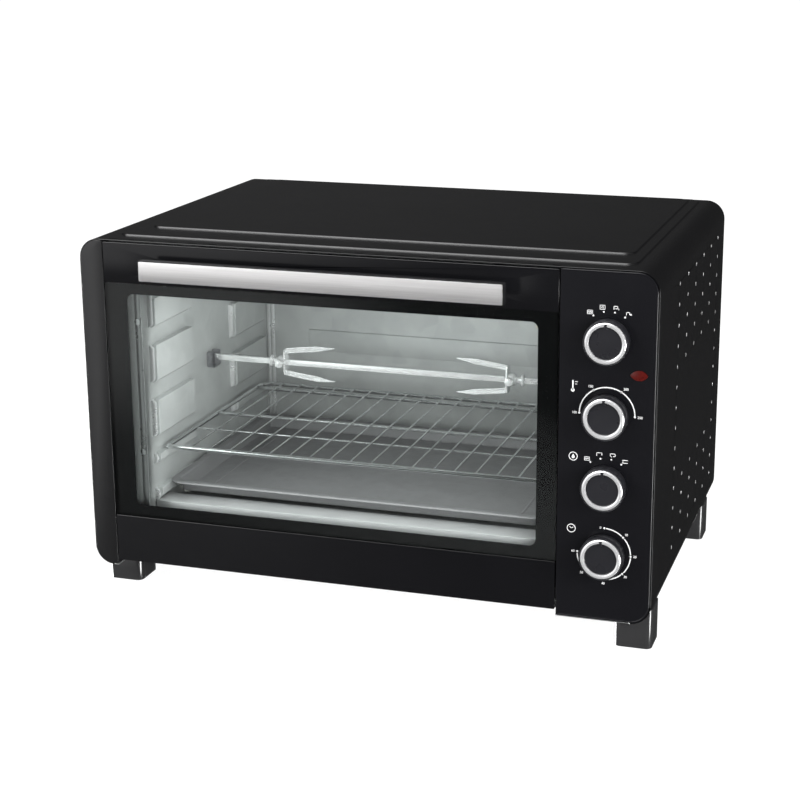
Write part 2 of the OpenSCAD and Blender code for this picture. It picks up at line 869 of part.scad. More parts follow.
module crumb_tray() {
    z = floor_z + 0.4;
    lip_y = cavity_y + 10.4;
    lip_z = tray_z - pan_depth - 0.8;
    step_y = 52;
    back_y = cavity_back - 6;
    color(bare_steel) in_place() {
        along_x(cavity_x0 + 2, cavity_w - 4) {
            translate([lip_y, z]) square([1, lip_z - z]);
            translate([lip_y, lip_z - 1]) square([step_y - lip_y, 1]);
            translate([step_y - 1, z]) square([1, lip_z - z]);
            translate([step_y - 1, z]) square([back_y - step_y + 1, 1]);
            translate([back_y - 1, z]) square([1, crumb_lip]);
        }
        for (x = [cavity_x0 + 2, cavity_x1 - 3])
            translate([x, step_y - 1, z]) cube([1, back_y - step_y + 1, crumb_lip]);
    }
}

// ---- Spit and forks ----

module spit_rod() {
    color(chrome) in_place() {
        rod_x(spit_x0, spit_y, spit_z, journal_l + tiny, spit_w);
        translate([spit_x0 + journal_l, spit_y - spit_w / 2, spit_z - spit_w / 2])
            cube([socket_x + 8 - spit_x0 - journal_l, spit_w, spit_w]);
    }
}

module spit_drive_socket() {
    bore = spit_w + 0.4;
    color([0.6, 0.6, 0.6]) in_place() {
        difference() {
            rod_x(socket_x, spit_y, spit_z, 14, 15);
            translate([socket_x - 1, spit_y - bore / 2, spit_z - bore / 2])
                cube([10, bore, bore]);
        }
        rod_x(socket_x + 14 - tiny, spit_y, spit_z, motor_x - socket_x - 14 + 5, 8);
    }
}

// Fork with its plate at x = 0 and its prongs towards +x; the hub lies on the -x side.
// screw_turn says which way the hole of the thumbscrew points: 0 is -y, 180 is +y
module fork(screw_turn) {
    bore = spit_w + 2 * fork_clear;
    difference() {
        union() {
            translate([0, -7, -fork_h / 2]) cube([2, 14, fork_h]);
            for (turn = [0, 180]) rotate([turn, 0, 0])
                translate([0, 1.5, 0]) rotate([90, 0, 0]) linear_extrude(3)
                    polygon([[1, fork_h / 2 - 6.5], [1, fork_h / 2],
                        [prong_l * 0.62, prong_spread + 1], [prong_l, prong_spread],
                        [prong_l, prong_spread - 0.8], [prong_l * 0.62, prong_spread - 6]]);
            translate([-6, 0, 0]) rotate([0, 90, 0]) cylinder(d = 14, h = 6);
            translate([-14, 0, 0]) rotate([0, 90, 0]) cylinder(d = 10.5, h = 8.5);
            translate([-17, 0, 0]) rotate([0, 90, 0]) cylinder(d = 13, h = 3.5);
        }
        translate([-20, -bore / 2, -bore / 2]) cube([25, bore, bore]);
        rotate([screw_turn, 0, 0])
            translate([-3, 0, 0]) rotate([90, 0, 0]) cylinder(d = 4, h = 20);
    }
}

// Thumbscrew that clamps the fork on the rod
module fork_screw(screw_turn) {
    rotate([screw_turn, 0, 0]) translate([-3, 0, 0]) rotate([90, 0, 0]) {
        translate([0, 0, spit_w / 2 + 0.4]) cylinder(d = 3.9, h = 7);
        translate([0, 0, 7.6]) cylinder(d = 9, h = 6);
    }
}

module left_fork_place() {
    translate([spit_x0 + fork_left_x, spit_y, spit_z]) children();
}

module right_fork_place() {
    translate([spit_x0 + fork_left_x + fork_gap, spit_y, spit_z])
        rotate([0, 0, 180]) children();
}

module fork_left() {
    color(chrome) in_place() left_fork_place() fork(0);
}

module fork_left_screw() {
    color(chrome) in_place() left_fork_place() fork_screw(0);
}

module fork_right() {
    color(chrome) in_place() right_fork_place() fork(180);
}

module fork_right_screw() {
    color(chrome) in_place() right_fork_place() fork_screw(180);
}

// ---- Knobs ----

// Core of a knob with its shaft, on the axis y through the origin
module knob_core() {
    rod_y(0, 1.5 - knob_reach, 0, knob_reach - 1.5 - knob_gap, ring_bore - 2 * fit_gap);
    rod_y(0, -2.5, 0, 1.7, knob_d - 3);
    translate([-1.4, 1 - knob_reach, ring_bore / 2 - 2]) cube([2.8, 3, 4.5]);
    rod_y(0, -2, 0, cavity_y + 6, shaft_d);
}

module knob_ring() {
    difference() {
        rod_y(0, -knob_reach, 0, knob_reach - 2.5, knob_d);
        rod_y(0, -knob_reach - 1, 0, knob_reach + 1, ring_bore);
        translate([-1.4, -knob_reach - 1, ring_bore / 2 - 2]) cube([2.8, 5, 4.5]);
    }
}

module at_dial(i) {
    in_place() translate([dial_x, 0, dial_z[i]]) children();
}

module timer_knob() {
    color(black_paint) at_dial(0) knob_core();
}

module timer_knob_ring() {
    color(chrome) at_dial(0) knob_ring();
}

module heater_knob() {
    color(black_paint) at_dial(1) knob_core();
}

module heater_knob_ring() {
    color(chrome) at_dial(1) knob_ring();
}

module thermostat_knob() {
    color(black_paint) at_dial(2) knob_core();
}

module thermostat_knob_ring() {
    color(chrome) at_dial(2) knob_ring();
}

module mode_knob() {
    color(black_paint) at_dial(3) knob_core();
}

module mode_knob_ring() {
    color(chrome) at_dial(3) knob_ring();
}

outer_shell();
base_plate();
rear_panel();
front_pillar();
control_panel();
front_frame();
cavity_left_wall();
cavity_right_wall();
cavity_rear_wall();
cavity_top();
cavity_floor();
upper_heating_elements();
lower_heating_elements();
element_insulators();
spit_support_bracket();
rotisserie_motor();
fan_cover();
fan_motor();
mode_switch();
thermostat();
heater_switch();
timer();
indicator_lamp();
hinge_brackets();
door_springs();
foot_front_left();
foot_front_right();
foot_rear_left();
foot_rear_right();
housing_screws();
cord_gland();
terminal_block();
door_top_rail();
door_bottom_rail();
door_side_stiles();
door_glass();
door_hinge_bushes();
door_check_arms();
handle_core();
handle_facing();
handle_screws();
wire_rack();
baking_tray();
crumb_tray();
spit_rod();
spit_drive_socket();
fork_left();
fork_left_screw();
fork_right();
fork_right_screw();
convection_fan();
mode_knob();
mode_knob_ring();
thermostat_knob();
thermostat_knob_ring();
heater_knob();
heater_knob_ring();
timer_knob();
timer_knob_ring();
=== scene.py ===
import json
import math

import bmesh
import bpy
from mathutils import Matrix, Vector


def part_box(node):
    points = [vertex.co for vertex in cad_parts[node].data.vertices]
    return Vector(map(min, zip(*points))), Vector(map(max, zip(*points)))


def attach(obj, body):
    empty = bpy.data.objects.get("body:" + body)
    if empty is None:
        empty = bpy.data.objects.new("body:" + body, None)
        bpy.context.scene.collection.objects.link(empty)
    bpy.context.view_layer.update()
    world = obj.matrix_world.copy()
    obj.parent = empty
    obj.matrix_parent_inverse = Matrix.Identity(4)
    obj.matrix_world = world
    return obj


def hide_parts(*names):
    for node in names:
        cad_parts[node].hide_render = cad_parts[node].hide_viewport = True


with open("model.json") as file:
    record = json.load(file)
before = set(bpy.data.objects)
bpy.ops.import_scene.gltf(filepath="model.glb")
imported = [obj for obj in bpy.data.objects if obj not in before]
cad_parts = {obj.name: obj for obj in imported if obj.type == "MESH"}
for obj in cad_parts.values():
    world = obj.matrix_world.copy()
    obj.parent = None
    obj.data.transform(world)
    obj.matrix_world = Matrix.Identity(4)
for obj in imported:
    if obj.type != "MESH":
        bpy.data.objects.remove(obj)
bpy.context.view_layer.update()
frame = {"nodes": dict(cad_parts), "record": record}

# Lengths below are millimetres from the lower front left corner of the oven's body, with x to
# the right, y to the back and z up. BODY holds that corner in the frame's metres.
MM = 0.001
BODY = Vector((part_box("outer_shell")[0].x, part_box("door_glass")[0].y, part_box("base_plate")[0].z))


def at(x, y, z):
    return BODY + Vector((x, y, z)) * MM


def span(node):
    """A CAD node's box in body millimetres."""
    low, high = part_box(node)
    return (low - BODY) / MM, (high - BODY) / MM


# ---------------------------------------------------------------- materials

def new_material(name):
    mat = bpy.data.materials.new(name)
    mat.use_nodes = True
    tree = mat.node_tree
    tree.nodes.clear()
    out = tree.nodes.new("ShaderNodeOutputMaterial")
    bsdf = tree.nodes.new("ShaderNodeBsdfPrincipled")
    tree.links.new(bsdf.outputs["BSDF"], out.inputs["Surface"])
    return mat, tree, bsdf, out


def object_coords(tree, stretch=(1, 1, 1)):
    coords = tree.nodes.new("ShaderNodeTexCoord")
    mapping = tree.nodes.new("ShaderNodeMapping")
    mapping.inputs["Scale"].default_value = stretch
    tree.links.new(coords.outputs["Object"], mapping.inputs["Vector"])
    return mapping.outputs["Vector"]


def noise(tree, scale, detail, stretch=(1, 1, 1), rough=0.55):
    tex = tree.nodes.new("ShaderNodeTexNoise")
    tex.inputs["Scale"].default_value = scale
    tex.inputs["Detail"].default_value = detail
    tex.inputs["Roughness"].default_value = rough
    tree.links.new(object_coords(tree, stretch), tex.inputs["Vector"])
    return tex.outputs["Fac"]


def spangle(tree, scale):
    tex = tree.nodes.new("ShaderNodeTexVoronoi")
    tex.inputs["Scale"].default_value = scale
    tree.links.new(object_coords(tree), tex.inputs["Vector"])
    return tex.outputs["Color"]


def remap(tree, value, low, high, from_low=0.3, from_high=0.7):
    node = tree.nodes.new("ShaderNodeMapRange")
    node.inputs["From Min"].default_value = from_low
    node.inputs["From Max"].default_value = from_high
    node.inputs["To Min"].default_value = low
    node.inputs["To Max"].default_value = high
    tree.links.new(value, node.inputs["Value"])
    return node.outputs["Result"]


def blend_colors(tree, fac, a, b):
    node = tree.nodes.new("ShaderNodeMix")
    node.data_type = "RGBA"
    tree.links.new(fac, node.inputs["Factor"])
    node.inputs[6].default_value = (*a, 1)
    node.inputs[7].default_value = (*b, 1)
    return node.outputs[2]


def add_bump(tree, bsdf, height, distance, strength=1.0, below=None):
    node = tree.nodes.new("ShaderNodeBump")
    node.inputs["Distance"].default_value = distance
    node.inputs["Strength"].default_value = strength
    tree.links.new(height, node.inputs["Height"])
    if below is not None:
        tree.links.new(below, node.inputs["Normal"])
    tree.links.new(node.outputs["Normal"], bsdf.inputs["Normal"])
    return node.outputs["Normal"]


def paint(name, dark, light, rough, peel, spec=0.3):
    """Sprayed or moulded black surface: slow colour drift, fine orange peel, uneven gloss."""
    mat, tree, bsdf, _ = new_material(name)
    drift = noise(tree, 14, 3)
    tree.links.new(blend_colors(tree, drift, dark, light), bsdf.inputs["Base Color"])
    tree.links.new(remap(tree, noise(tree, 60, 5), rough * 0.85, rough * 1.15),
                   bsdf.inputs["Roughness"])
    bsdf.inputs["Specular IOR Level"].default_value = spec
    add_bump(tree, bsdf, noise(tree, 1400, 2), peel, 0.6)
    return mat


def brushed(name, dark, light, rough, stretch, metallic=1.0, scratch=0.00001, aniso=0.0):
    """Metal with grain along one axis: the grain's stretch is small along that axis."""
    mat, tree, bsdf, _ = new_material(name)
    grain = noise(tree, 900, 6, stretch, 0.7)
    tree.links.new(blend_colors(tree, remap(tree, grain, 0, 1), dark, light),
                   bsdf.inputs["Base Color"])
    tree.links.new(remap(tree, grain, rough * 0.8, rough * 1.2), bsdf.inputs["Roughness"])
    bsdf.inputs["Metallic"].default_value = metallic
    bsdf.inputs["Anisotropic"].default_value = aniso
    low = add_bump(tree, bsdf, grain, scratch)
    add_bump(tree, bsdf, noise(tree, 9, 2), 0.0003, 0.25, low)
    return mat


def sheet_metal(name, dark, light, rough, metallic=0.8, flakes=45):
    """Zinc-coated sheet: soft spangle, smudges in the gloss and slight waviness."""
    mat, tree, bsdf, _ = new_material(name)
    bw = tree.nodes.new("ShaderNodeRGBToBW")
    tree.links.new(spangle(tree, flakes), bw.inputs["Color"])
    mixed = tree.nodes.new("ShaderNodeMath")
    mixed.operation = "MULTIPLY_ADD"
    tree.links.new(bw.outputs[0], mixed.inputs[0])
    mixed.inputs[1].default_value = 0.35
    tree.links.new(noise(tree, 30, 5), mixed.inputs[2])
    tint = remap(tree, mixed.outputs[0], 0, 1, 0.35, 1.0)
    tree.links.new(blend_colors(tree, tint, dark, light), bsdf.inputs["Base Color"])
    tree.links.new(remap(tree, noise(tree, 22, 6, rough=0.65), rough * 0.8, rough * 1.25),
                   bsdf.inputs["Roughness"])
    bsdf.inputs["Metallic"].default_value = metallic
    low = add_bump(tree, bsdf, noise(tree, 700, 3), 0.00001)
    add_bump(tree, bsdf, noise(tree, 7, 2), 0.0006, 0.3, low)
    return mat


def plain(name, dark, light, rough, metallic=0.0, grain=500, depth=0.00002, spec=0.5):
    mat, tree, bsdf, _ = new_material(name)
    tree.links.new(blend_colors(tree, noise(tree, 40, 5), dark, light), bsdf.inputs["Base Color"])
    tree.links.new(remap(tree, noise(tree, 90, 4), rough * 0.85, rough * 1.15),
                   bsdf.inputs["Roughness"])
    bsdf.inputs["Metallic"].default_value = metallic
    bsdf.inputs["Specular IOR Level"].default_value = spec
    add_bump(tree, bsdf, noise(tree, grain, 3), depth)
    return mat


def glass(name, tint, shine):
    """Flat pane: lets light straight through, with a mirror-like face by Fresnel."""
    mat, tree, bsdf, out = new_material(name)
    tree.nodes.remove(bsdf)
    clear = tree.nodes.new("ShaderNodeBsdfTransparent")
    clear.inputs["Color"].default_value = (*tint, 1)
    gloss = tree.nodes.new("ShaderNodeBsdfGlossy")
    tree.links.new(remap(tree, noise(tree, 25, 4), 0.0, 0.05), gloss.inputs["Roughness"])
    gloss.inputs["Color"].default_value = (shine, shine, shine, 1)
    fresnel = tree.nodes.new("ShaderNodeFresnel")
    fresnel.inputs["IOR"].default_value = 1.33
    mix = tree.nodes.new("ShaderNodeMixShader")
    tree.links.new(fresnel.outputs[0], mix.inputs[0])
    tree.links.new(clear.outputs[0], mix.inputs[1])
    tree.links.new(gloss.outputs[0], mix.inputs[2])
    tree.links.new(mix.outputs[0], out.inputs["Surface"])
    return mat


def lamp_lens(name):
    mat, tree, bsdf, _ = new_material(name)
    tint = blend_colors(tree, noise(tree, 350, 3), (0.045, 0.003, 0.0025), (0.09, 0.007, 0.005))
    tree.links.new(tint, bsdf.inputs["Base Color"])
    bsdf.inputs["Roughness"].default_value = 0.16
    bsdf.inputs["Coat Weight"].default_value = 0.6
    add_bump(tree, bsdf, noise(tree, 500, 2), 0.00006)
    return mat


M = {
    "shell": paint("shell_paint", (0.003, 0.003, 0.0033), (0.0044, 0.0044, 0.0048), 0.2,
                   0.0000006, 0.25),
    "door": paint("door_paint", (0.0045, 0.0045, 0.0052), (0.006, 0.006, 0.007), 0.17, 0.00001),
    "panel": paint("panel_paint", (0.0052, 0.0052, 0.0064), (0.007, 0.007, 0.0085), 0.2, 0.00001),
    "pillar": paint("pillar_paint", (0.008, 0.008, 0.0085), (0.011, 0.011, 0.0115), 0.22, 0.00001,
                    0.55),
    "rear": paint("rear_paint", (0.012, 0.012, 0.012), (0.018, 0.018, 0.018), 0.5, 0.00004),
    "border": paint("glass_print", (0.0045, 0.0045, 0.005), (0.006, 0.006, 0.0066), 0.2, 0.000004),
    "moulded": paint("moulded_plastic", (0.010, 0.010, 0.011), (0.016, 0.016, 0.017), 0.16,
                     0.000015, 0.5),
    # Feet: lighter than the other black plastic, a painted reflection standing in for the white floor
    # mirrored in their glossy faces
    "foot": paint("foot_plastic_painted_floor_reflection", (0.024, 0.024, 0.025), (0.034, 0.034, 0.035), 0.14,
                  0.000005, 0.5),
    "knob": paint("knob_plastic", (0.010, 0.010, 0.012), (0.016, 0.016, 0.019), 0.3, 0.00001, 0.4),
    "sheet": sheet_metal("galvanised_sheet_grey", (0.40, 0.415, 0.41), (0.53, 0.545, 0.54), 0.42),
    "wall": sheet_metal("oven_wall_grey", (0.40, 0.415, 0.41), (0.50, 0.515, 0.51), 0.38, 0.7),
    # Pressed beads and folded edges of the oven walls: a lighter copy of the wall sheet, a painted
    # highlight standing in for the light they catch
    "painted_highlight_sheet": sheet_metal("wall_sheet_painted_highlight", (0.62, 0.63, 0.63), (0.74, 0.75, 0.75), 0.3),
    "facing": brushed("brushed_facing", (0.80, 0.79, 0.79), (0.92, 0.91, 0.91), 0.36,
                      (0.01, 1, 1), 0.85, 0.000006, 0.4),
    "chrome": brushed("knob_chrome", (0.82, 0.82, 0.83), (0.92, 0.92, 0.93), 0.2, (1, 0.02, 1),
                      0.66, 0.000003),
    "wire": brushed("bright_wire_plate", (0.72, 0.73, 0.73), (0.86, 0.87, 0.87), 0.2, (1, 1, 1),
                    1.0, 0.000006),
    "fork": brushed("pressed_steel", (0.78, 0.79, 0.79), (0.93, 0.94, 0.94), 0.2, (0.05, 1, 1),
                    0.86, 0.000003),
    "flange": plain("frame_sheet", (0.56, 0.57, 0.565), (0.66, 0.67, 0.665), 0.45, 0.15, 700,
                    0.000004),
    # Side vent rims: lighter grey than the shell, partly the bare metal of the punched edge and partly
    # a painted highlight for the glints on the vents
    "edge": plain("vent_rim_bare_metal_and_painted_glint", (0.20, 0.20, 0.20), (0.42, 0.42, 0.42), 0.5, 0.3, 900, 0.000003),
    "crumb": plain("rolled_sheet", (0.45, 0.46, 0.46), (0.54, 0.55, 0.55), 0.36, 0.8, 700,
                   0.000004),
    "enamel": plain("tray_coating", (0.088, 0.088, 0.09), (0.11, 0.111, 0.113), 0.38, 0.3, 900,
                    0.0000005),
    "tube": plain("element_sheath", (0.20, 0.19, 0.18), (0.32, 0.31, 0.30), 0.45, 0.9),
    "ceramic": plain("unglazed_ceramic", (0.74, 0.73, 0.68), (0.84, 0.83, 0.79), 0.7),
    "motor": sheet_metal("plain_motor_metal", (0.42, 0.42, 0.41), (0.55, 0.55, 0.54), 0.45, 0.9,
                         90),
    "switch": plain("switch_moulding", (0.55, 0.50, 0.38), (0.68, 0.63, 0.50), 0.5),
    "spring": brushed("spring_wire", (0.32, 0.32, 0.34), (0.45, 0.45, 0.47), 0.3, (1, 1, 1)),
    "lens": lamp_lens("lamp_lens_red"),
    "print": plain("panel_print", (0.72, 0.72, 0.72), (0.82, 0.82, 0.82), 0.5, 0, 2500, 0.000003),
    "glass": glass("door_pane", (0.91, 0.93, 0.925), 0.9),
}

SLOT_MATERIAL = {
    "black_paint": "shell", "black_plastic": "moulded", "galvanised_sheet": "sheet",
    "steel_facing": "facing", "bright_wire": "wire", "chrome_ring": "chrome",
    "door_glass": "glass", "tray_enamel": "enamel", "heater_tube": "tube", "ceramic": "ceramic",
    "drive_metal": "motor", "control_body": "switch", "lamp_red": "lens",
    "spring_steel": "spring",
}
NODE_MATERIAL = {
    "rear_panel": "rear", "control_panel": "panel", "front_pillar": "pillar",
    "foot_front_left": "foot", "foot_front_right": "foot", "foot_rear_left": "foot",
    "foot_rear_right": "foot", "spit_rod": "fork", "spit_support_bracket": "spring",
    "door_top_rail": "door", "door_bottom_rail": "door", "door_side_stiles": "border",
    "cavity_left_wall": "wall", "cavity_right_wall": "wall", "cavity_rear_wall": "wall",
    "cavity_top": "wall", "cavity_floor": "wall", "crumb_tray": "crumb", "front_frame": "flange",
}
slot_of = {row["node"]: row["material_slot"] for row in frame["record"]["subparts"]}
for node, obj in frame["nodes"].items():
    key = NODE_MATERIAL.get(node, SLOT_MATERIAL[slot_of[node]])
    for i in range(len(obj.data.materials)):
        obj.data.materials[i] = M[key]


# ---------------------------------------------------------------- mesh helpers

SMOOTH_ANGLE = 32
BEVEL_ANGLE = 34


def set_smooth(mesh, angle):
    mesh.polygons.foreach_set("use_smooth", [True] * len(mesh.polygons))
    mesh.set_sharp_from_angle(angle=math.radians(angle))


def bevel(obj, width, segments=2, angle=BEVEL_ANGLE, clamp=True):
    mod = obj.modifiers.new("edge_radius", "BEVEL")
    mod.width = width * MM
    mod.segments = segments
    mod.limit_method = "ANGLE"
    mod.angle_limit = math.radians(angle)
    mod.harden_normals = False
    mod.use_clamp_overlap = clamp


def soften(node, width, segments=2, angle=BEVEL_ANGLE, weighted=False, clamp=True):
    """Rounds the edges of a CAD node that stays in view; weighted keeps its flat faces flat."""
    obj = frame["nodes"][node]
    mesh = obj.data
    if "custom_normal" in mesh.attributes:
        mesh.attributes.remove(mesh.attributes["custom_normal"])
    weld = obj.modifiers.new("weld", "WELD")
    weld.merge_threshold = 0.000002
    bevel(obj, width, segments, angle, clamp)
    mesh.polygons.foreach_set("use_smooth", [False] * len(mesh.polygons))
    smooth_late(obj)
    if weighted:
        even = obj.modifiers.new("even_shading", "WEIGHTED_NORMAL")
        even.keep_sharp = True
        even.weight = 90


def smooth_late(obj):
    """Smooth shading by angle as the last modifier, made of nodes so that it follows the bevel."""
    group = bpy.data.node_groups.get("smooth_by_angle")
    if group is None:
        group = bpy.data.node_groups.new("smooth_by_angle", "GeometryNodeTree")
        group.interface.new_socket("Geometry", in_out="INPUT", socket_type="NodeSocketGeometry")
        group.interface.new_socket("Geometry", in_out="OUTPUT", socket_type="NodeSocketGeometry")
        n_in = group.nodes.new("NodeGroupInput")
        n_out = group.nodes.new("NodeGroupOutput")
        edge = group.nodes.new("GeometryNodeInputMeshEdgeAngle")
        test = group.nodes.new("FunctionNodeCompare")
        test.data_type = "FLOAT"
        test.operation = "LESS_EQUAL"
        test.inputs[1].default_value = math.radians(SMOOTH_ANGLE)
        faces = group.nodes.new("GeometryNodeSetShadeSmooth")
        faces.domain = "FACE"
        edges = group.nodes.new("GeometryNodeSetShadeSmooth")
        edges.domain = "EDGE"
        link = group.links.new
        link(n_in.outputs[0], faces.inputs["Geometry"])
        link(faces.outputs["Geometry"], edges.inputs["Geometry"])
        link(edge.outputs["Unsigned Angle"], test.inputs[0])
        link(test.outputs[0], edges.inputs["Shade Smooth"])
        link(edges.outputs["Geometry"], n_out.inputs[0])
    mod = obj.modifiers.new("smooth", "NODES")
    mod.node_group = group


def make_piece(name, bm, body, material, replaces=(), smooth=SMOOTH_ANGLE,
               bevel_width=0):
    """Turns a bmesh in body millimetres into a piece that rides on a body."""
    bmesh.ops.remove_doubles(bm, verts=bm.verts, dist=1e-4)
    bmesh.ops.recalc_face_normals(bm, faces=bm.faces)
    for v in bm.verts:
        v.co = BODY + v.co * MM
    mesh = bpy.data.meshes.new(name)
    bm.to_mesh(mesh)
    bm.free()
    obj = bpy.data.objects.new(name, mesh)
    bpy.context.scene.collection.objects.link(obj)
    mesh.materials.append(M[material])
    if bevel_width:
        bevel(obj, bevel_width)
        smooth_late(obj)
    elif smooth:
        set_smooth(mesh, smooth)
    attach(obj, body)
    if replaces:
        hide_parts(*replaces)


def add_loops(bm, loops, closed=False):
    """Skins rings of points; each ring is a closed loop of the same count. The first and last
    ring are capped, or joined when closed."""
    rings = [[bm.verts.new(p) for p in loop] for loop in loops]
    n = len(rings[0])
    pairs = list(zip(rings, rings[1:]))
    if closed:
        pairs.append((rings[-1], rings[0]))
    for a, b in pairs:
        for i in range(n):
            j = (i + 1) % n
            bm.faces.new((a[i], a[j], b[j], b[i]))
    if not closed:
        bm.faces.new(list(reversed(rings[0])))
        bm.faces.new(rings[-1])


def add_tube(bm, points, radius, sides=14, closed=False):
    """Round wire along a polyline, with parallel-carried rings."""
    points = [Vector(p) for p in points]
    count = len(points)
    tangents = []
    for i in range(count):
        before = points[i - 1] if (i or closed) else points[i]
        after = points[(i + 1) % count] if (i < count - 1 or closed) else points[i]
        tangents.append((after - before).normalized())
    side = tangents[0].orthogonal().normalized()
    loops = []
    for i, (p, t) in enumerate(zip(points, tangents)):
        if i:
            side = (side - t * side.dot(t)).normalized()
        up = t.cross(side)
        loops.append([p + (side * math.cos(a) + up * math.sin(a)) * radius
                      for a in (2 * math.pi * k / sides for k in range(sides))])
    add_loops(bm, loops, closed=closed)


def add_lathe(bm, profile, centre, axis, steps, start=0.0, turn=360.0):
    """Revolves (radius, height) points about the X or Y axis through centre."""
    centre = Vector(centre)
    full = abs(turn) >= 360
    count = steps if full else steps + 1
    rings = []
    for k in range(count):
        a = math.radians(start + turn * k / steps)
        c, s = math.cos(a), math.sin(a)
        ring = []
        for r, h in profile:
            point = (r * s, h, r * c) if axis == "Y" else (h, r * s, r * c)
            ring.append(centre + Vector(point))
        rings.append(ring)
    add_loops(bm, rings, closed=full)


def rounded_rect(x0, z0, x1, z1, r, n=8):
    points = []
    for cx, cz, a0 in ((x1 - r, z1 - r, 0), (x0 + r, z1 - r, 90), (x0 + r, z0 + r, 180),
                       (x1 - r, z0 + r, 270)):
        for k in range(n + 1):
            a = math.radians(a0 + 90 * k / n)
            points.append((cx + r * math.cos(a), cz + r * math.sin(a)))
    return points


def add_slab_y(bm, outline, y0, y1):
    """Closed outline of (x, z) points between two y planes."""
    add_loops(bm, [[(x, y0, z) for x, z in outline], [(x, y1, z) for x, z in outline]])


def add_frame_y(bm, outer, inner, y0, y1):
    """Ring between two outlines of the same count, between two y planes."""
    loops = [[(x, y0, z) for x, z in outer], [(x, y1, z) for x, z in outer],
             [(x, y1, z) for x, z in inner], [(x, y0, z) for x, z in inner]]
    add_loops(bm, loops, closed=True)


def add_ring_z(bm, x0, y0, x1, y1, radius, profile, n=12):
    """Closed band around a rounded rectangle in plan; profile holds (distance inward, z)."""
    rings = []
    for cx, cy, a0 in ((x1 - radius, y1 - radius, 0), (x0 + radius, y1 - radius, 90),
                       (x0 + radius, y0 + radius, 180), (x1 - radius, y0 + radius, 270)):
        for k in range(n + 1):
            a = math.radians(a0 + 90 * k / n)
            rings.append([(cx + (radius - u) * math.cos(a), cy + (radius - u) * math.sin(a), z)
                          for u, z in profile])
    add_loops(bm, rings, closed=True)
    return rings


# ---------------------------------------------------------------- casing

soften("outer_shell", 0.45, 3, angle=60, weighted=True, clamp=False)
soften("front_pillar", 0.8, 3)
soften("control_panel", 0.8, 3, weighted=True)
soften("door_top_rail", 0.5, 2)
soften("door_bottom_rail", 0.5, 2)
soften("door_side_stiles", 0.4, 2)
soften("front_frame", 0.2, 1, weighted=True)
soften("base_plate", 0.3, 1)
soften("rear_panel", 0.25, 1, weighted=True)
soften("crumb_tray", 0.3, 2)
soften("cavity_rear_wall", 0.6, 2)
soften("spit_support_bracket", 0.8, 2)
soften("spit_rod", 0.5, 2)
soften("indicator_lamp", 0.5, 3)
for corner in ("front_left", "front_right", "rear_left", "rear_right"):
    soften("foot_" + corner, 1.2, 3)
for wall in ("left", "right"):
    soften("cavity_" + wall + "_wall", 1.4, 3, angle=25, weighted=True)

# Pressed steps of the top: a rounded face over each step's upright edge. Each row holds the
# step's corners in plan, then the heights it rises between.
TOP_STEPS = ((30, 26, 551, 394, 340.0, 341.2), (45, 68, 540, 388, 341.2, 342.4))
TOP_STEP_RADIUS = 12
bm = bmesh.new()
for x0, y0, x1, y1, z0, z1 in TOP_STEPS:
    rise = z1 - z0
    add_ring_z(bm, x0, y0, x1, y1, TOP_STEP_RADIUS, [
        (-1.5, z0 + 0.01), (-1.0, z0 + rise * 0.12), (-0.6, z0 + rise * 0.42),
        (-0.35, z0 + rise * 0.75), (-0.02, z1 - 0.02), (0.5, z1 - 0.1), (0.5, z0 - 0.1),
        (-1.5, z0 - 0.1)])
make_piece("top_step_edges", bm, "housing", "shell", smooth=60)

# Funnel-shaped rims of the side vents, a grid with its middle left out; their lighter grey is partly
# bare punched metal, partly a painted highlight for the vents' glints
VENT_COLS, VENT_ROWS = 6, 14
VENT_Y0, VENT_Z0 = 109.8, 307.3
VENT_STEP_Y, VENT_STEP_Z = 48.93, 20.58
bm = bmesh.new()
side_x0, side_x1 = span("outer_shell")[0].x, span("outer_shell")[1].x
for col in range(VENT_COLS):
    for row in range(VENT_ROWS):
        if 5 <= row <= 9 and 0 < col < VENT_COLS - 1:
            continue
        centre = (0, VENT_Y0 + VENT_STEP_Y * col, VENT_Z0 - VENT_STEP_Z * row)
        for edge, sign in ((side_x0, 1), (side_x1, -1)):
            rim = [(1.97, edge + sign * 0.03), (1.8, edge + sign * 0.2), (1.5, edge + sign * 0.75),
                   (1.5, edge + sign * 1.1), (1.97, edge + sign * 1.1)]
            add_lathe(bm, rim, centre, "X", 20)
make_piece("side_vent_rims", bm, "housing", "edge", smooth=60)

# ---------------------------------------------------------------- door glass and handle

low, high = span("door_glass")
GX0, GX1, GZ0, GZ1 = low.x, high.x, low.z, high.z
PANE_BACK, PRINT_BACK = 3.7, 4.0
WINDOW = (48, 67, 465, 286, 7)      # x and z of two corners, then the corners' radius

bm = bmesh.new()
add_slab_y(bm, [(GX0, GZ0), (GX1, GZ0), (GX1, GZ1), (GX0, GZ1)], 0.0, PANE_BACK)
make_piece("door_pane", bm, "door", "glass", ("door_glass",), 0, 0.35)

bm = bmesh.new()
add_frame_y(bm, rounded_rect(GX0, GZ0, GX1, GZ1, 0.5), rounded_rect(*WINDOW),
            PANE_BACK + 0.05, PRINT_BACK)
make_piece("door_glass_print", bm, "door", "border")

# Fine rounded edges of the door: along the top, and where the glass meets the bottom rail
bm = bmesh.new()
rail_top = span("door_top_rail")[1].z
add_tube(bm, [(GX0 + 0.5, 0.35, rail_top - 0.4), (GX1 - 0.5, 0.35, rail_top - 0.4)], 0.5, 12)
add_tube(bm, [(GX0 + 0.5, 0.2, GZ0), (GX1 - 0.5, 0.2, GZ0)], 0.45, 12)
make_piece("door_edge_lines", bm, "door", "door", smooth=50)

soften("handle_core", 1.2, 3)
soften("handle_facing", 0.35, 2)

# ---------------------------------------------------------------- knobs

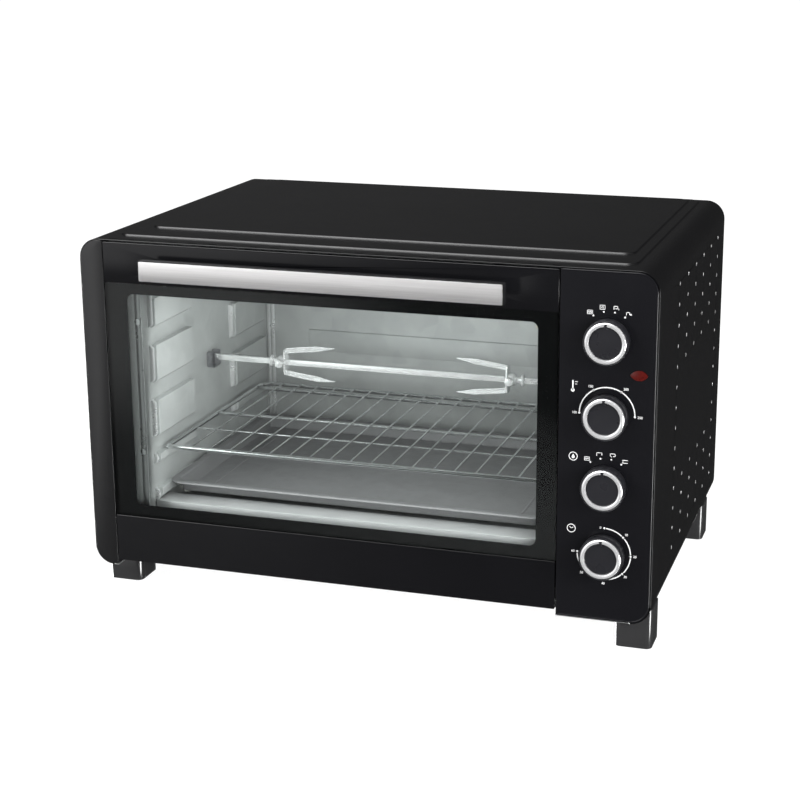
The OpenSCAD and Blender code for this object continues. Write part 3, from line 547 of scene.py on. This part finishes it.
# Profiles as (radius, y) points. The ring is open at its top for the pointer's notch, where only
# its seat and its outer lip go on.
RING = [(15.4, -3.0), (15.4, -15.8), (15.65, -16.4), (16.3, -16.75), (17.3, -16.95),
        (18.2, -16.8), (18.9, -16.35), (19.3, -15.7), (19.4, -15.0), (19.4, -2.6), (15.4, -2.6)]
RING_SEAT = [(15.4, -3.0), (15.4, -12.8), (19.4, -12.8), (19.4, -2.6), (15.4, -2.6)]
RING_LIP = [(18.2, -12.7), (18.2, -16.8), (18.9, -16.35), (19.3, -15.7), (19.4, -15.0),
            (19.4, -12.7)]
RIM_RING = [(19.5, -2.7), (19.5, -15.1), (19.8, -15.6), (20.3, -15.9), (20.7, -15.75),
            (20.95, -15.2), (20.95, -9.0), (20.7, -3.4), (20.4, -2.7)]
CORE = [(0.0, -2.4), (0.0, -15.35), (8.0, -15.3), (13.6, -15.15), (14.7, -15.25),
        (15.1, -15.0), (15.25, -14.5), (15.25, -2.4)]
SKIRT = [(15.3, -2.45), (19.2, -2.45), (19.5, -2.2), (19.5, -1.0), (19.2, -0.85), (15.3, -0.85)]
SHAFT = [(0.0, -1.0), (2.98, -1.0), (2.98, 19.0), (0.0, 19.0)]
POINTER = [(-1.3, 13.2), (1.3, 13.2), (1.2, 16.6), (0.0, 17.8), (-1.2, 16.6)]
NOTCH = math.degrees(math.asin(1.45 / 17.0))
DIALS = ("timer", "heater", "thermostat", "mode")
dial_centre = {}
for dial in DIALS:
    low, high = span(dial + "_knob_ring")
    cx, cz = (low.x + high.x) / 2, (low.z + high.z) / 2
    dial_centre[dial] = (cx, cz)
    centre = (cx, 0, cz)
    bm = bmesh.new()
    add_lathe(bm, RING, centre, "Y", 120, NOTCH, 360 - 2 * NOTCH)
    add_lathe(bm, RING_SEAT, centre, "Y", 6, -NOTCH, 2 * NOTCH)
    add_lathe(bm, RING_LIP, centre, "Y", 6, -NOTCH, 2 * NOTCH)
    make_piece(dial + "_ring", bm, dial + "_control", "chrome",
               (dial + "_knob_ring",), 38)
    bm = bmesh.new()
    add_lathe(bm, CORE, centre, "Y", 96)
    add_lathe(bm, SKIRT, centre, "Y", 96)
    add_lathe(bm, RIM_RING, centre, "Y", 120)
    add_lathe(bm, SHAFT, centre, "Y", 48)
    add_slab_y(bm, [(cx + x, cz + z) for x, z in POINTER], -16.6, -13.0)
    make_piece(dial + "_core", bm, dial + "_control", "knob",
               (dial + "_knob",))

# Rounded edge of the control panel, next to the shell
low, high = span("control_panel")
px0, px1, pz0, pz1 = low.x + 1.4, high.x - 0.9, low.z + 0.9, high.z - 0.9
EDGE_R, EDGE_Y = 18.1, 0.45
edge_path = [(px0, EDGE_Y, pz1)]
for cx, cz, a0 in ((px1 - EDGE_R, pz1 - EDGE_R, 90), (px1 - EDGE_R, pz0 + EDGE_R, 0)):
    for k in range(17):
        a = math.radians(a0 - 90 * k / 16)
        edge_path.append((cx + EDGE_R * math.cos(a), EDGE_Y, cz + EDGE_R * math.sin(a)))
edge_path.append((px0, EDGE_Y, pz0))
bm = bmesh.new()
add_tube(bm, edge_path, 0.7, 16)
make_piece("panel_rounded_edge", bm, "housing", "panel", smooth=50)

# ---------------------------------------------------------------- printed marks on the panel

PRINT_Y0, PRINT_Y1 = -0.05, 0.02


def add_disc(bm, x, z, r, n=20):
    add_slab_y(bm, [(x + r * math.cos(2 * math.pi * k / n), z + r * math.sin(2 * math.pi * k / n))
                    for k in range(n)], PRINT_Y0, PRINT_Y1)


def add_stroke(bm, points, width):
    """Flat line through (x, z) points with square joints."""
    points = [Vector(p) for p in points]
    for a, b in zip(points, points[1:]):
        d = (b - a).normalized() * width / 2
        n = Vector((-d.y, d.x))
        quad = [a - d * 0.9 - n, b + d * 0.9 - n, b + d * 0.9 + n, a - d * 0.9 + n]
        add_slab_y(bm, [tuple(q) for q in quad], PRINT_Y0, PRINT_Y1)


def add_arc(bm, cx, cz, r, start, end, width, n=64):
    """Arc between two angles in degrees, clockwise from twelve o'clock."""
    def points(radius):
        return [(cx + radius * math.sin(math.radians(start + (end - start) * k / n)),
                 cz + radius * math.cos(math.radians(start + (end - start) * k / n)))
                for k in range(n + 1)]
    outer, inner = points(r + width / 2), points(r - width / 2)
    for k in range(n):
        quad = [outer[k], outer[k + 1], inner[k + 1], inner[k]]
        add_slab_y(bm, quad, PRINT_Y0, PRINT_Y1)


DIGIT_HEIGHT = 2.3


def add_number(bm, text, x, z):
    """Digits as flat shapes, centred on x and z."""
    curve = bpy.data.curves.new("digits", "FONT")
    curve.body = text
    curve.size = DIGIT_HEIGHT / 0.72
    curve.align_x = "CENTER"
    curve.align_y = "CENTER"
    curve.extrude = 0.03
    curve.offset = 0.02 * DIGIT_HEIGHT
    temp = bpy.data.objects.new("digits", curve)
    bpy.context.scene.collection.objects.link(temp)
    bpy.context.view_layer.update()
    depsgraph = bpy.context.evaluated_depsgraph_get()
    mesh = bpy.data.meshes.new_from_object(temp.evaluated_get(depsgraph))
    bpy.data.objects.remove(temp)
    bpy.data.curves.remove(curve)
    mesh.transform(Matrix(((1, 0, 0, x), (0, 0, -1, -0.02), (0, 1, 0, z), (0, 0, 0, 1))))
    bm.from_mesh(mesh)
    bpy.data.meshes.remove(mesh)


def icon_grill(bm, x, z):
    add_stroke(bm, [(x - 2.4, z + 1.7), (x + 2.4, z + 1.7), (x + 2.4, z - 1.7), (x - 2.4, z - 1.7),
                    (x - 2.4, z + 1.7)], 0.5)
    add_stroke(bm, [(x - 1.7, z - 0.9), (x - 1.0, z + 0.9), (x - 0.3, z - 0.9), (x + 0.4, z + 0.9),
                    (x + 1.1, z - 0.9), (x + 1.7, z + 0.9)], 0.45)


def icon_top(bm, x, z):
    add_stroke(bm, [(x - 2.4, z - 1.5), (x - 2.4, z + 1.5), (x + 2.4, z + 1.5), (x + 2.4, z - 0.6)],
               0.6)


def icon_loop(bm, x, z):
    add_stroke(bm, [(x - 1.2, z - 1.6), (x - 2.3, z - 0.9), (x - 2.3, z + 1.5), (x + 2.3, z + 1.5),
                    (x + 2.3, z - 0.9), (x + 0.6, z - 0.9)], 0.6)


def icon_bars(bm, x, z):
    add_stroke(bm, [(x - 2.4, z + 1.3), (x + 2.4, z + 1.3)], 0.6)
    add_stroke(bm, [(x - 2.4, z - 1.3), (x + 2.4, z - 1.3)], 0.6)
    add_stroke(bm, [(x - 1.9, z + 1.3), (x - 1.9, z - 1.3)], 0.4)


def icon_fan(bm, x, z):
    add_stroke(bm, [(x - 2.3, z + 1.9), (x + 2.3, z + 1.9), (x + 2.3, z - 1.9), (x - 2.3, z - 1.9),
                    (x - 2.3, z + 1.9)], 0.5)
    for a in range(0, 360, 120):
        r = math.radians(a + 20)
        add_disc(bm, x + 0.8 * math.sin(r), z + 0.8 * math.cos(r), 0.5, 10)


def icon_boxes(bm, x, z):
    add_stroke(bm, [(x - 2.2, z - 1.4), (x - 2.2, z + 1.6), (x + 1.2, z + 1.6), (x + 1.2, z + 0.2)],
               0.6)
    add_stroke(bm, [(x - 0.6, z - 0.6), (x + 2.3, z - 0.6), (x + 2.3, z - 1.9)], 0.5)


def icon_pair(bm, x, z):
    add_stroke(bm, [(x - 2.2, z - 0.6), (x - 2.2, z + 1.7), (x + 0.8, z + 1.7), (x + 0.8, z - 0.2)],
               0.6)
    add_disc(bm, x + 1.9, z - 0.2, 0.8, 12)


def polar(dial, angle, r):
    """A point at a clock angle in degrees and a radius from a dial's centre."""
    cx, cz = dial_centre[dial]
    return cx + r * math.sin(math.radians(angle)), cz + r * math.cos(math.radians(angle))


ICONS = {"mode": (icon_grill, icon_fan, icon_boxes, icon_pair),
         "heater": (icon_grill, icon_top, icon_loop, icon_bars)}
ICON_STOPS = (-33.75, -11.25, 11.25, 33.75)
THERMO_R, TIMER_R = 26, 25.5
# Each row: the dial angle, the number, and how far its centre is from the tick in x and z
THERMO_MARKS = ((-90, "100", -4.6, 0.0), (-30, "150", -2.8, 3.4), (30, "200", 4.2, 3.0),
                (90, "250", 4.8, -0.4))
THERMOMETER, FLAME_BADGE, CLOCK_BADGE = (499.5, 229.5), (501.0, 161.5), (500.4, 90.5)
FLAME = [(0.0, 2.4), (0.9, 0.9), (1.5, -0.4), (1.2, -1.7), (0.0, -2.2), (-1.2, -1.7),
         (-1.5, -0.4), (-0.8, 0.8)]

bm = bmesh.new()
for dial, icons in ICONS.items():
    for icon, angle in zip(icons, ICON_STOPS):
        x, z = polar(dial, angle, 26.2)
        add_disc(bm, x, z, 0.85)
        x, z = polar(dial, angle * 1.06, 30.6)
        icon(bm, x, z)
cx, cz = dial_centre["thermostat"]
add_arc(bm, cx, cz, THERMO_R, -88, 88, 1.1)
for angle, text, dx, dz in THERMO_MARKS:
    x, z = polar("thermostat", angle, THERMO_R)
    add_disc(bm, x, z, 1.05)
    add_number(bm, text, x + dx, z + dz)
cx, cz = dial_centre["timer"]
for k in range(7):
    angle = 45 * k
    x, z = polar("timer", angle, TIMER_R)
    add_disc(bm, x, z, 1.0)
    if k:
        add_arc(bm, cx, cz, TIMER_R, angle - 45 + 4, angle - 4, 1.1, 16)
    nx, nz = polar("timer", angle, 29.6 if k else 29.0)
    if k == 0:
        nx -= 3.6
        nz -= 3.4
    add_number(bm, str(10 * k), nx, nz)
x, z = THERMOMETER
add_disc(bm, x, z - 4.2, 1.7)
add_stroke(bm, [(x, z - 4.2), (x, z + 4.6)], 1.2)
add_stroke(bm, [(x + 2.2, z + 3.8), (x + 4.2, z + 3.8)], 0.5)
add_stroke(bm, [(x + 2.2, z + 1.6), (x + 3.6, z + 1.6)], 0.5)
for x, z in (FLAME_BADGE, CLOCK_BADGE):
    add_arc(bm, x, z, 3.9, 0, 360, 0.65, 40)
x, z = FLAME_BADGE
add_slab_y(bm, [(x + a, z + b) for a, b in FLAME], PRINT_Y0, PRINT_Y1)
x, z = CLOCK_BADGE
add_stroke(bm, [(x - 1.4, z + 1.3), (x, z), (x + 1.7, z + 1.1)], 0.55)
make_piece("panel_marks", bm, "housing", "print", smooth=0)

# ---------------------------------------------------------------- oven space details

LEFT_X = span("cavity_left_wall")[0].x + 1.0
MID_X = (span("cavity_floor")[0].x + span("cavity_floor")[1].x) / 2
RIGHT_X = 2 * MID_X - LEFT_X
REAR_Y = span("cavity_rear_wall")[1].y - 1.0


def add_bead(bm, x, y, z0, z1, width, height, side):
    """Half-round vertical bead on a side wall, with tapered ends; side is +1 on the left wall."""
    n = 8
    loops = []
    for z, k in ((z0, 0.05), (z0 + 1.5, 0.75), (z0 + 3.5, 1.0), (z1 - 3.5, 1.0), (z1 - 1.5, 0.75),
                 (z1, 0.05)):
        ring = []
        for i in range(n + 1):
            a = math.pi * i / n
            ring.append((x + side * height * k * math.sin(a), y - width / 2 * math.cos(a), z))
        ring.append((x - side * 0.3, y + width / 2, z))
        ring.append((x - side * 0.3, y - width / 2, z))
        loops.append(ring)
    add_loops(bm, loops)


# The beads take the lighter sheet: a painted highlight along each bead
BEAD_Y = (30.0, 226.0)
BEAD_Z = ((63.5, 77), (103.5, 114.5), (132.5, 171), (189.5, 228), (246.5, 290))
for name, side, x in (("left", 1, LEFT_X), ("right", -1, RIGHT_X)):
    bm = bmesh.new()
    for y in BEAD_Y:
        for z0, z1 in BEAD_Z:
            add_bead(bm, x, y, z0, z1, 5.0, 4.6, side)
    make_piece("wall_beads_" + name, bm, "housing", "painted_highlight_sheet", smooth=40)

# Upright beads in the rear corners, also in the lighter sheet as a painted highlight
bm = bmesh.new()
for x in (LEFT_X + 3.4, LEFT_X + 8.6, RIGHT_X - 3.4, RIGHT_X - 8.6):
    loops = []
    for z in (47, 297):
        ring = []
        for i in range(9):
            a = math.pi * i / 8
            ring.append((x - 2.1 * math.cos(a), REAR_Y - 2.2 * math.sin(a), z))
        ring.append((x + 2.1, REAR_Y + 0.3, z))
        ring.append((x - 2.1, REAR_Y + 0.3, z))
        loops.append(ring)
    add_loops(bm, loops)
make_piece("rear_corner_beads", bm, "housing", "painted_highlight_sheet", smooth=40)

# Folded edge of the oven space around the front opening, in the lighter sheet: a painted highlight
# along the fold
bm = bmesh.new()
outer = rounded_rect(LEFT_X - 6.5, 44.6, RIGHT_X + 6.5, 298.4, 1.0, 4)
inner = rounded_rect(LEFT_X - 0.02, 46.02, RIGHT_X + 0.02, 296.98, 1.0, 4)
add_frame_y(bm, outer, inner, 13.2, 13.98)
make_piece("opening_rim", bm, "housing", "painted_highlight_sheet", bevel_width=0.35)

# ---------------------------------------------------------------- rack

low, high = span("wire_rack")
RACK_R, FRONT_R, REAR_R = 2.5, 4.0, 15.0
CROSS_WIRES = ((68, 1.1), (127, 2.0), (234, 2.2))       # distance from the front, radius
RODS, ROD_PITCH, ROD_RADIUS = 17, 21.7, 0.95
cx0, cx1 = low.x + RACK_R, high.x - RACK_R
cy0, cy1 = low.y + RACK_R, high.y - RACK_R
RACK_Z = low.z + RACK_R
ROD_Z = RACK_Z + 2.0
bm = bmesh.new()
loop = []
for px, py, a0, corner in (
        (cx1 - REAR_R, cy1 - REAR_R, 0, REAR_R), (cx0 + REAR_R, cy1 - REAR_R, 90, REAR_R),
        (cx0 + FRONT_R, cy0 + FRONT_R, 180, FRONT_R), (cx1 - FRONT_R, cy0 + FRONT_R, 270, FRONT_R)):
    for k in range(13):
        a = math.radians(a0 + 90 * k / 12)
        loop.append((px + corner * math.cos(a), py + corner * math.sin(a), RACK_Z))
add_tube(bm, loop, RACK_R, 18, closed=True)
for y, r in CROSS_WIRES:
    add_tube(bm, [(cx0, cy0 + y, RACK_Z), (cx1, cy0 + y, RACK_Z)], r, 16)
for i in range(RODS):
    x = MID_X + ROD_PITCH * (i - (RODS - 1) / 2)
    path = [(x, cy0 + 0.2, RACK_Z + 0.6), (x, cy0 + 1.6, ROD_Z - 0.5), (x, cy0 + 4.0, ROD_Z),
            (x, cy1 - 4.0, ROD_Z), (x, cy1 - 1.6, ROD_Z - 0.5), (x, cy1 - 0.2, RACK_Z + 0.6)]
    add_tube(bm, path, ROD_RADIUS, 12)
make_piece("rack_wires", bm, "rack", "wire", ("wire_rack",), 50)

# ---------------------------------------------------------------- baking tray

# The tray's section as (distance inward, height from the rim): its upper side, then its under
# side, both as far as the flat bottom; EMBOSS is the raised line around that bottom.
low, high = span("baking_tray")
RIM = [(2.4, -2.2), (1.2, -2.4), (0.35, -1.9), (0.0, -1.2), (0.35, -0.45), (1.2, -0.02),
       (2.6, -0.05), (7.6, -0.12), (8.7, -0.6), (9.4, -1.6), (13.2, -11.2), (14.2, -12.3),
       (15.2, -12.7), (15.9, -12.75)]
UNDER = [(15.9, -13.6), (15.2, -13.55), (13.8, -13.2), (12.4, -11.9), (8.6, -2.2), (7.6, -1.2),
         (2.9, -1.0)]
EMBOSS = [(0.0, -12.8), (0.6, -12.45), (1.3, -12.2), (2.2, -12.3), (3.2, -12.8)]
TRAY_RADIUS, EMBOSS_INSET, EMBOSS_RADIUS = 16.0, 33, 14.0
tz = high.z
bm = bmesh.new()
rings = add_ring_z(bm, low.x, low.y, high.x, high.y, TRAY_RADIUS,
                   [(u, tz + w) for u, w in RIM + UNDER])
bottom = [ring[len(RIM) - 1][:2] for ring in rings]
add_loops(bm, [[(x, y, tz + w) for x, y in bottom] for w in (UNDER[0][1], RIM[-1][1])])
add_ring_z(bm, low.x + EMBOSS_INSET, low.y + EMBOSS_INSET, high.x - EMBOSS_INSET,
           high.y - EMBOSS_INSET, EMBOSS_RADIUS, [(u, tz + w) for u, w in EMBOSS])
make_piece("tray_pan", bm, "tray", "enamel", ("baking_tray",), 40)

# ---------------------------------------------------------------- forks

def add_prong(bm, place, side):
    """Pressed prong: a leaf with a groove down its middle, ending in a point."""
    # Each station: distance from the plate, then the prong's near and far edge from the spit
    stations = [(0.2, 8.2, 14.4), (3.0, 9.4, 15.2), (16.0, 11.2, 17.0), (36.0, 13.4, 19.4),
                (46.0, 15.8, 19.1), (55.5, 17.7, 18.7), (57.0, 18.0, 18.2)]
    loops = []
    for x, a, b in stations:
        w = b - a
        mid = (a + b) / 2
        depth = 1.5 * min(1, w / 4)
        ring = [(a, -depth), (a + w * 0.22, -depth), (mid, -depth * 0.1), (b - w * 0.22, -depth),
                (b, -depth), (b, -depth + 0.7 * min(1, w / 3)), (b - w * 0.2, depth * 0.1),
                (mid, depth * 0.9), (a + w * 0.2, depth * 0.1), (a, -depth + 0.7 * min(1, w / 3))]
        loops.append([place(x, y, side * z) for z, y in ring])
    add_loops(bm, loops)


PLATE_INSET = 17
# The plate's outline as (y, z), and each layer's distance forward and its scale in y and z
PLATE = [(-6.5, -9), (-5.2, -13.6), (-3.2, -14.5), (3.2, -14.5), (5.2, -13.6), (6.5, -9),
         (7.0, -4), (7.0, 4), (6.5, 9), (5.2, 13.6), (3.2, 14.5), (-3.2, 14.5), (-5.2, 13.6),
         (-6.5, 9), (-7.0, 4), (-7.0, -4)]
PLATE_LAYERS = ((0.05, 1.0, 1.0), (0.6, 1.0, 1.0), (1.9, 0.93, 0.985))
HUB = [(3.6, 0.0), (3.6, -16.9), (5.6, -16.9), (6.4, -16.2), (6.4, -14.3), (5.6, -13.6),
       (3.9, -13.4), (3.9, -8.6), (5.0, -8.2), (6.2, -6.6), (6.9, -5.9), (6.9, -0.6), (6.2, 0.0)]
HUB_STEPS = 48
SCREW_HEAD = [(0.0, 0.0), (3.2, 0.0), (4.2, 0.5), (4.45, 1.4), (4.45, 4.6), (4.1, 5.5),
              (3.4, 5.95), (2.0, 5.95), (1.95, 10.1), (0.0, 10.1)]
for name, sign in (("left", 1), ("right", -1)):
    low, high = span("fork_" + name)
    plate_x = low.x + PLATE_INSET if sign > 0 else high.x - PLATE_INSET
    axis_y, axis_z = (low.y + high.y) / 2, (low.z + high.z) / 2

    def place(x, y, z, px=plate_x, s=sign, cy=axis_y, cz=axis_z):
        return (px + s * x, cy + y, cz + z)

    bm = bmesh.new()
    add_loops(bm, [[place(x, y * ky, z * kz) for y, z in PLATE] for x, ky, kz in PLATE_LAYERS])
    for side in (1, -1):
        add_prong(bm, place, side)
    rings = []
    for k in range(HUB_STEPS):
        a = 2 * math.pi * k / HUB_STEPS
        rings.append([place(h, r * math.sin(a), r * math.cos(a)) for r, h in HUB])
    add_loops(bm, rings, closed=True)
    make_piece("fork_sheet_" + name, bm, name + "_fork", "fork",
               ("fork_" + name,), bevel_width=0.25)

    low, high = span("fork_" + name + "_screw")
    bm = bmesh.new()
    add_lathe(bm, [(r, low.y + h) for r, h in SCREW_HEAD],
              ((low.x + high.x) / 2, 0, (low.z + high.z) / 2), "Y", 40)
    make_piece("fork_knob_" + name, bm, name + "_fork", "fork",
               ("fork_" + name + "_screw",), 35)

# ---------------------------------------------------------------- stage, light and camera

def stage_floor():
    """White floor that mirrors in the oven as nothing, so that the world's glow shows there."""
    bm = bmesh.new()
    reach = 6.0
    bm.faces.new([bm.verts.new((x, y, 0)) for x, y in
                  ((-reach, -reach), (reach, -reach), (reach, reach), (-reach, reach))])
    mesh = bpy.data.meshes.new("stage_floor")
    bm.to_mesh(mesh)
    bm.free()
    obj = bpy.data.objects.new("stage_floor", mesh)
    bpy.context.scene.collection.objects.link(obj)
    mat, tree, bsdf, out = new_material("stage_floor")
    bsdf.inputs["Base Color"].default_value = (0.16, 0.16, 0.16, 1)
    bsdf.inputs["Roughness"].default_value = 0.95
    bsdf.inputs["Specular IOR Level"].default_value = 0.0
    glow = tree.nodes.new("ShaderNodeEmission")
    glow.inputs["Strength"].default_value = 0.935
    both = tree.nodes.new("ShaderNodeAddShader")
    tree.links.new(bsdf.outputs[0], both.inputs[0])
    tree.links.new(glow.outputs[0], both.inputs[1])
    path = tree.nodes.new("ShaderNodeLightPath")
    clear = tree.nodes.new("ShaderNodeBsdfTransparent")
    mix = tree.nodes.new("ShaderNodeMixShader")
    tree.links.new(path.outputs["Is Glossy Ray"], mix.inputs[0])
    tree.links.new(both.outputs[0], mix.inputs[1])
    tree.links.new(clear.outputs[0], mix.inputs[2])
    tree.links.new(mix.outputs[0], out.inputs["Surface"])
    mesh.materials.append(mat)


stage_floor()


def area_light(name, place, target, size, power, shown=True):
    light = bpy.data.lights.new(name, "AREA")
    light.shape = "RECTANGLE"
    light.size, light.size_y = size
    light.energy = power
    obj = bpy.data.objects.new(name, light)
    obj.location = place
    obj.rotation_euler = (Vector(target) - Vector(place)).to_track_quat("-Z", "Y").to_euler()
    bpy.context.scene.collection.objects.link(obj)
    obj.visible_camera = False
    obj.visible_glossy = shown


area_light("soft_top", (0.0, 0.2, 2.4), (0, 0, 0), (3.2, 3.2), 75, shown=False)
area_light("soft_left", (-1.6, -1.5, 1.5), (0, 0, 0.2), (1.2, 1.2), 34)
area_light("soft_right", (2.0, -1.0, 0.8), (0, 0, 0.2), (0.9, 0.9), 42, shown=False)
area_light("soft_front", at(1000, -1300, 420), at(200, 13, 170), (0.8, 0.8), 9, shown=False)

# Light inside the oven space: a strip along the top of the opening and a wide soft one
area_light("oven_strip", at(MID_X, 34, 292), at(MID_X, 150, 60), (0.36, 0.03), 0.5, shown=False)
area_light("oven_fill", at(MID_X, 20, 165), at(MID_X, 330, 150), (0.38, 0.20), 2.2, shown=False)


# Bright patches that only mirrors see: direction, the cosines where each one starts and is full,
# and its strength. They light the top's steps, the upright edges on the right, and the left.
PATCHES = (((-0.28, -0.02, 0.96), 0.82, 0.95, 14.0),
           ((0.925, -0.277, -0.26), 0.955, 0.99, 40.0),
           ((-0.86, 0.42, -0.3), 0.93, 0.98, 30.0))


def build_world():
    """White to the camera, soft grey to plain surfaces, and a shaded studio to mirrors."""
    world = bpy.data.worlds.new("studio")
    bpy.context.scene.world = world
    world.use_nodes = True
    tree = world.node_tree
    tree.nodes.clear()
    link = tree.links.new
    out = tree.nodes.new("ShaderNodeOutputWorld")
    path = tree.nodes.new("ShaderNodeLightPath")
    white = tree.nodes.new("ShaderNodeBackground")
    white.inputs["Color"].default_value = (1, 1, 1, 1)
    white.inputs["Strength"].default_value = 1.05
    soft = tree.nodes.new("ShaderNodeBackground")
    soft.inputs["Strength"].default_value = 0.55
    mirror = tree.nodes.new("ShaderNodeBackground")

    coords = tree.nodes.new("ShaderNodeTexCoord")
    split = tree.nodes.new("ShaderNodeSeparateXYZ")
    link(coords.outputs["Generated"], split.inputs[0])

    def ramp(value, low, high, to_low, to_high):
        node = tree.nodes.new("ShaderNodeMapRange")
        node.interpolation_type = "SMOOTHSTEP"
        node.inputs["From Min"].default_value = low
        node.inputs["From Max"].default_value = high
        node.inputs["To Min"].default_value = to_low
        node.inputs["To Max"].default_value = to_high
        link(value, node.inputs["Value"])
        return node.outputs["Result"]

    def math_node(kind, a, b):
        node = tree.nodes.new("ShaderNodeMath")
        node.operation = kind
        for i, v in enumerate((a, b)):
            if isinstance(v, (int, float)):
                node.inputs[i].default_value = v
            else:
                link(v, node.inputs[i])
        return node.outputs[0]

    x, y, z = split.outputs

    def toward(direction, low, high, strength):
        dot = tree.nodes.new("ShaderNodeVectorMath")
        dot.operation = "DOT_PRODUCT"
        link(coords.outputs["Generated"], dot.inputs[0])
        dot.inputs[1].default_value = Vector(direction).normalized()
        return ramp(dot.outputs["Value"], low, high, 0, strength)

    front = ramp(y, 0.2, -0.4, 0, 1)
    left = ramp(x, -0.12, -0.52, 0, 1)
    level = ramp(z, -0.42, -0.10, 0.10, 1)
    above = ramp(z, 0.55, 0.95, 0, 0.6)
    back = math_node("MULTIPLY", ramp(y, 0.2, 0.9, 0, 1), ramp(x, 0.2, -0.5, 0.01, 0.06))
    value = math_node("MULTIPLY", math_node("MULTIPLY", front, left), level)
    value = math_node("MULTIPLY", value, 1.35)
    value = math_node("ADD", value, above)
    for patch in PATCHES:
        value = math_node("ADD", value, toward(*patch))
    value = math_node("ADD", value, back)
    value = math_node("ADD", value, 0.024)
    link(value, mirror.inputs["Strength"])

    mix_a = tree.nodes.new("ShaderNodeMixShader")
    link(path.outputs["Is Glossy Ray"], mix_a.inputs[0])
    link(soft.outputs[0], mix_a.inputs[1])
    link(mirror.outputs[0], mix_a.inputs[2])
    mix_b = tree.nodes.new("ShaderNodeMixShader")
    link(path.outputs["Is Camera Ray"], mix_b.inputs[0])
    link(mix_a.outputs[0], mix_b.inputs[1])
    link(white.outputs[0], mix_b.inputs[2])
    link(mix_b.outputs[0], out.inputs["Surface"])


build_world()

scene = bpy.context.scene
scene.view_settings.view_transform = "Standard"
scene.view_settings.look = "None"

# The camera: its turn and height above the horizon in degrees, its distance in metres from a
# point on the door's plane, and its lens in pixels of a square frame: focal length, and where
# the optical axis meets the frame.
TURN, RISE, DISTANCE = 16.66, 14.98, 1.63553
FRAME_SIZE, FOCAL, AXIS_U, AXIS_V = 800, 1746.68, 454.31, 367.62
SENSOR = 36
TARGET = at(385.7, 0, 237.68)
look = Vector((-math.sin(math.radians(TURN)) * math.cos(math.radians(RISE)),
               math.cos(math.radians(TURN)) * math.cos(math.radians(RISE)),
               -math.sin(math.radians(RISE))))
cam = bpy.data.cameras.new("camera")
cam.sensor_width = SENSOR
cam.lens = FOCAL / FRAME_SIZE * SENSOR
cam.shift_x = (FRAME_SIZE / 2 - AXIS_U) / FRAME_SIZE
cam.shift_y = (AXIS_V - FRAME_SIZE / 2) / FRAME_SIZE
cam.clip_start = 0.05
camera = bpy.data.objects.new("camera", cam)
camera.location = TARGET - look * DISTANCE
camera.rotation_euler = look.to_track_quat("-Z", "Y").to_euler()
scene.collection.objects.link(camera)
scene.camera = camera
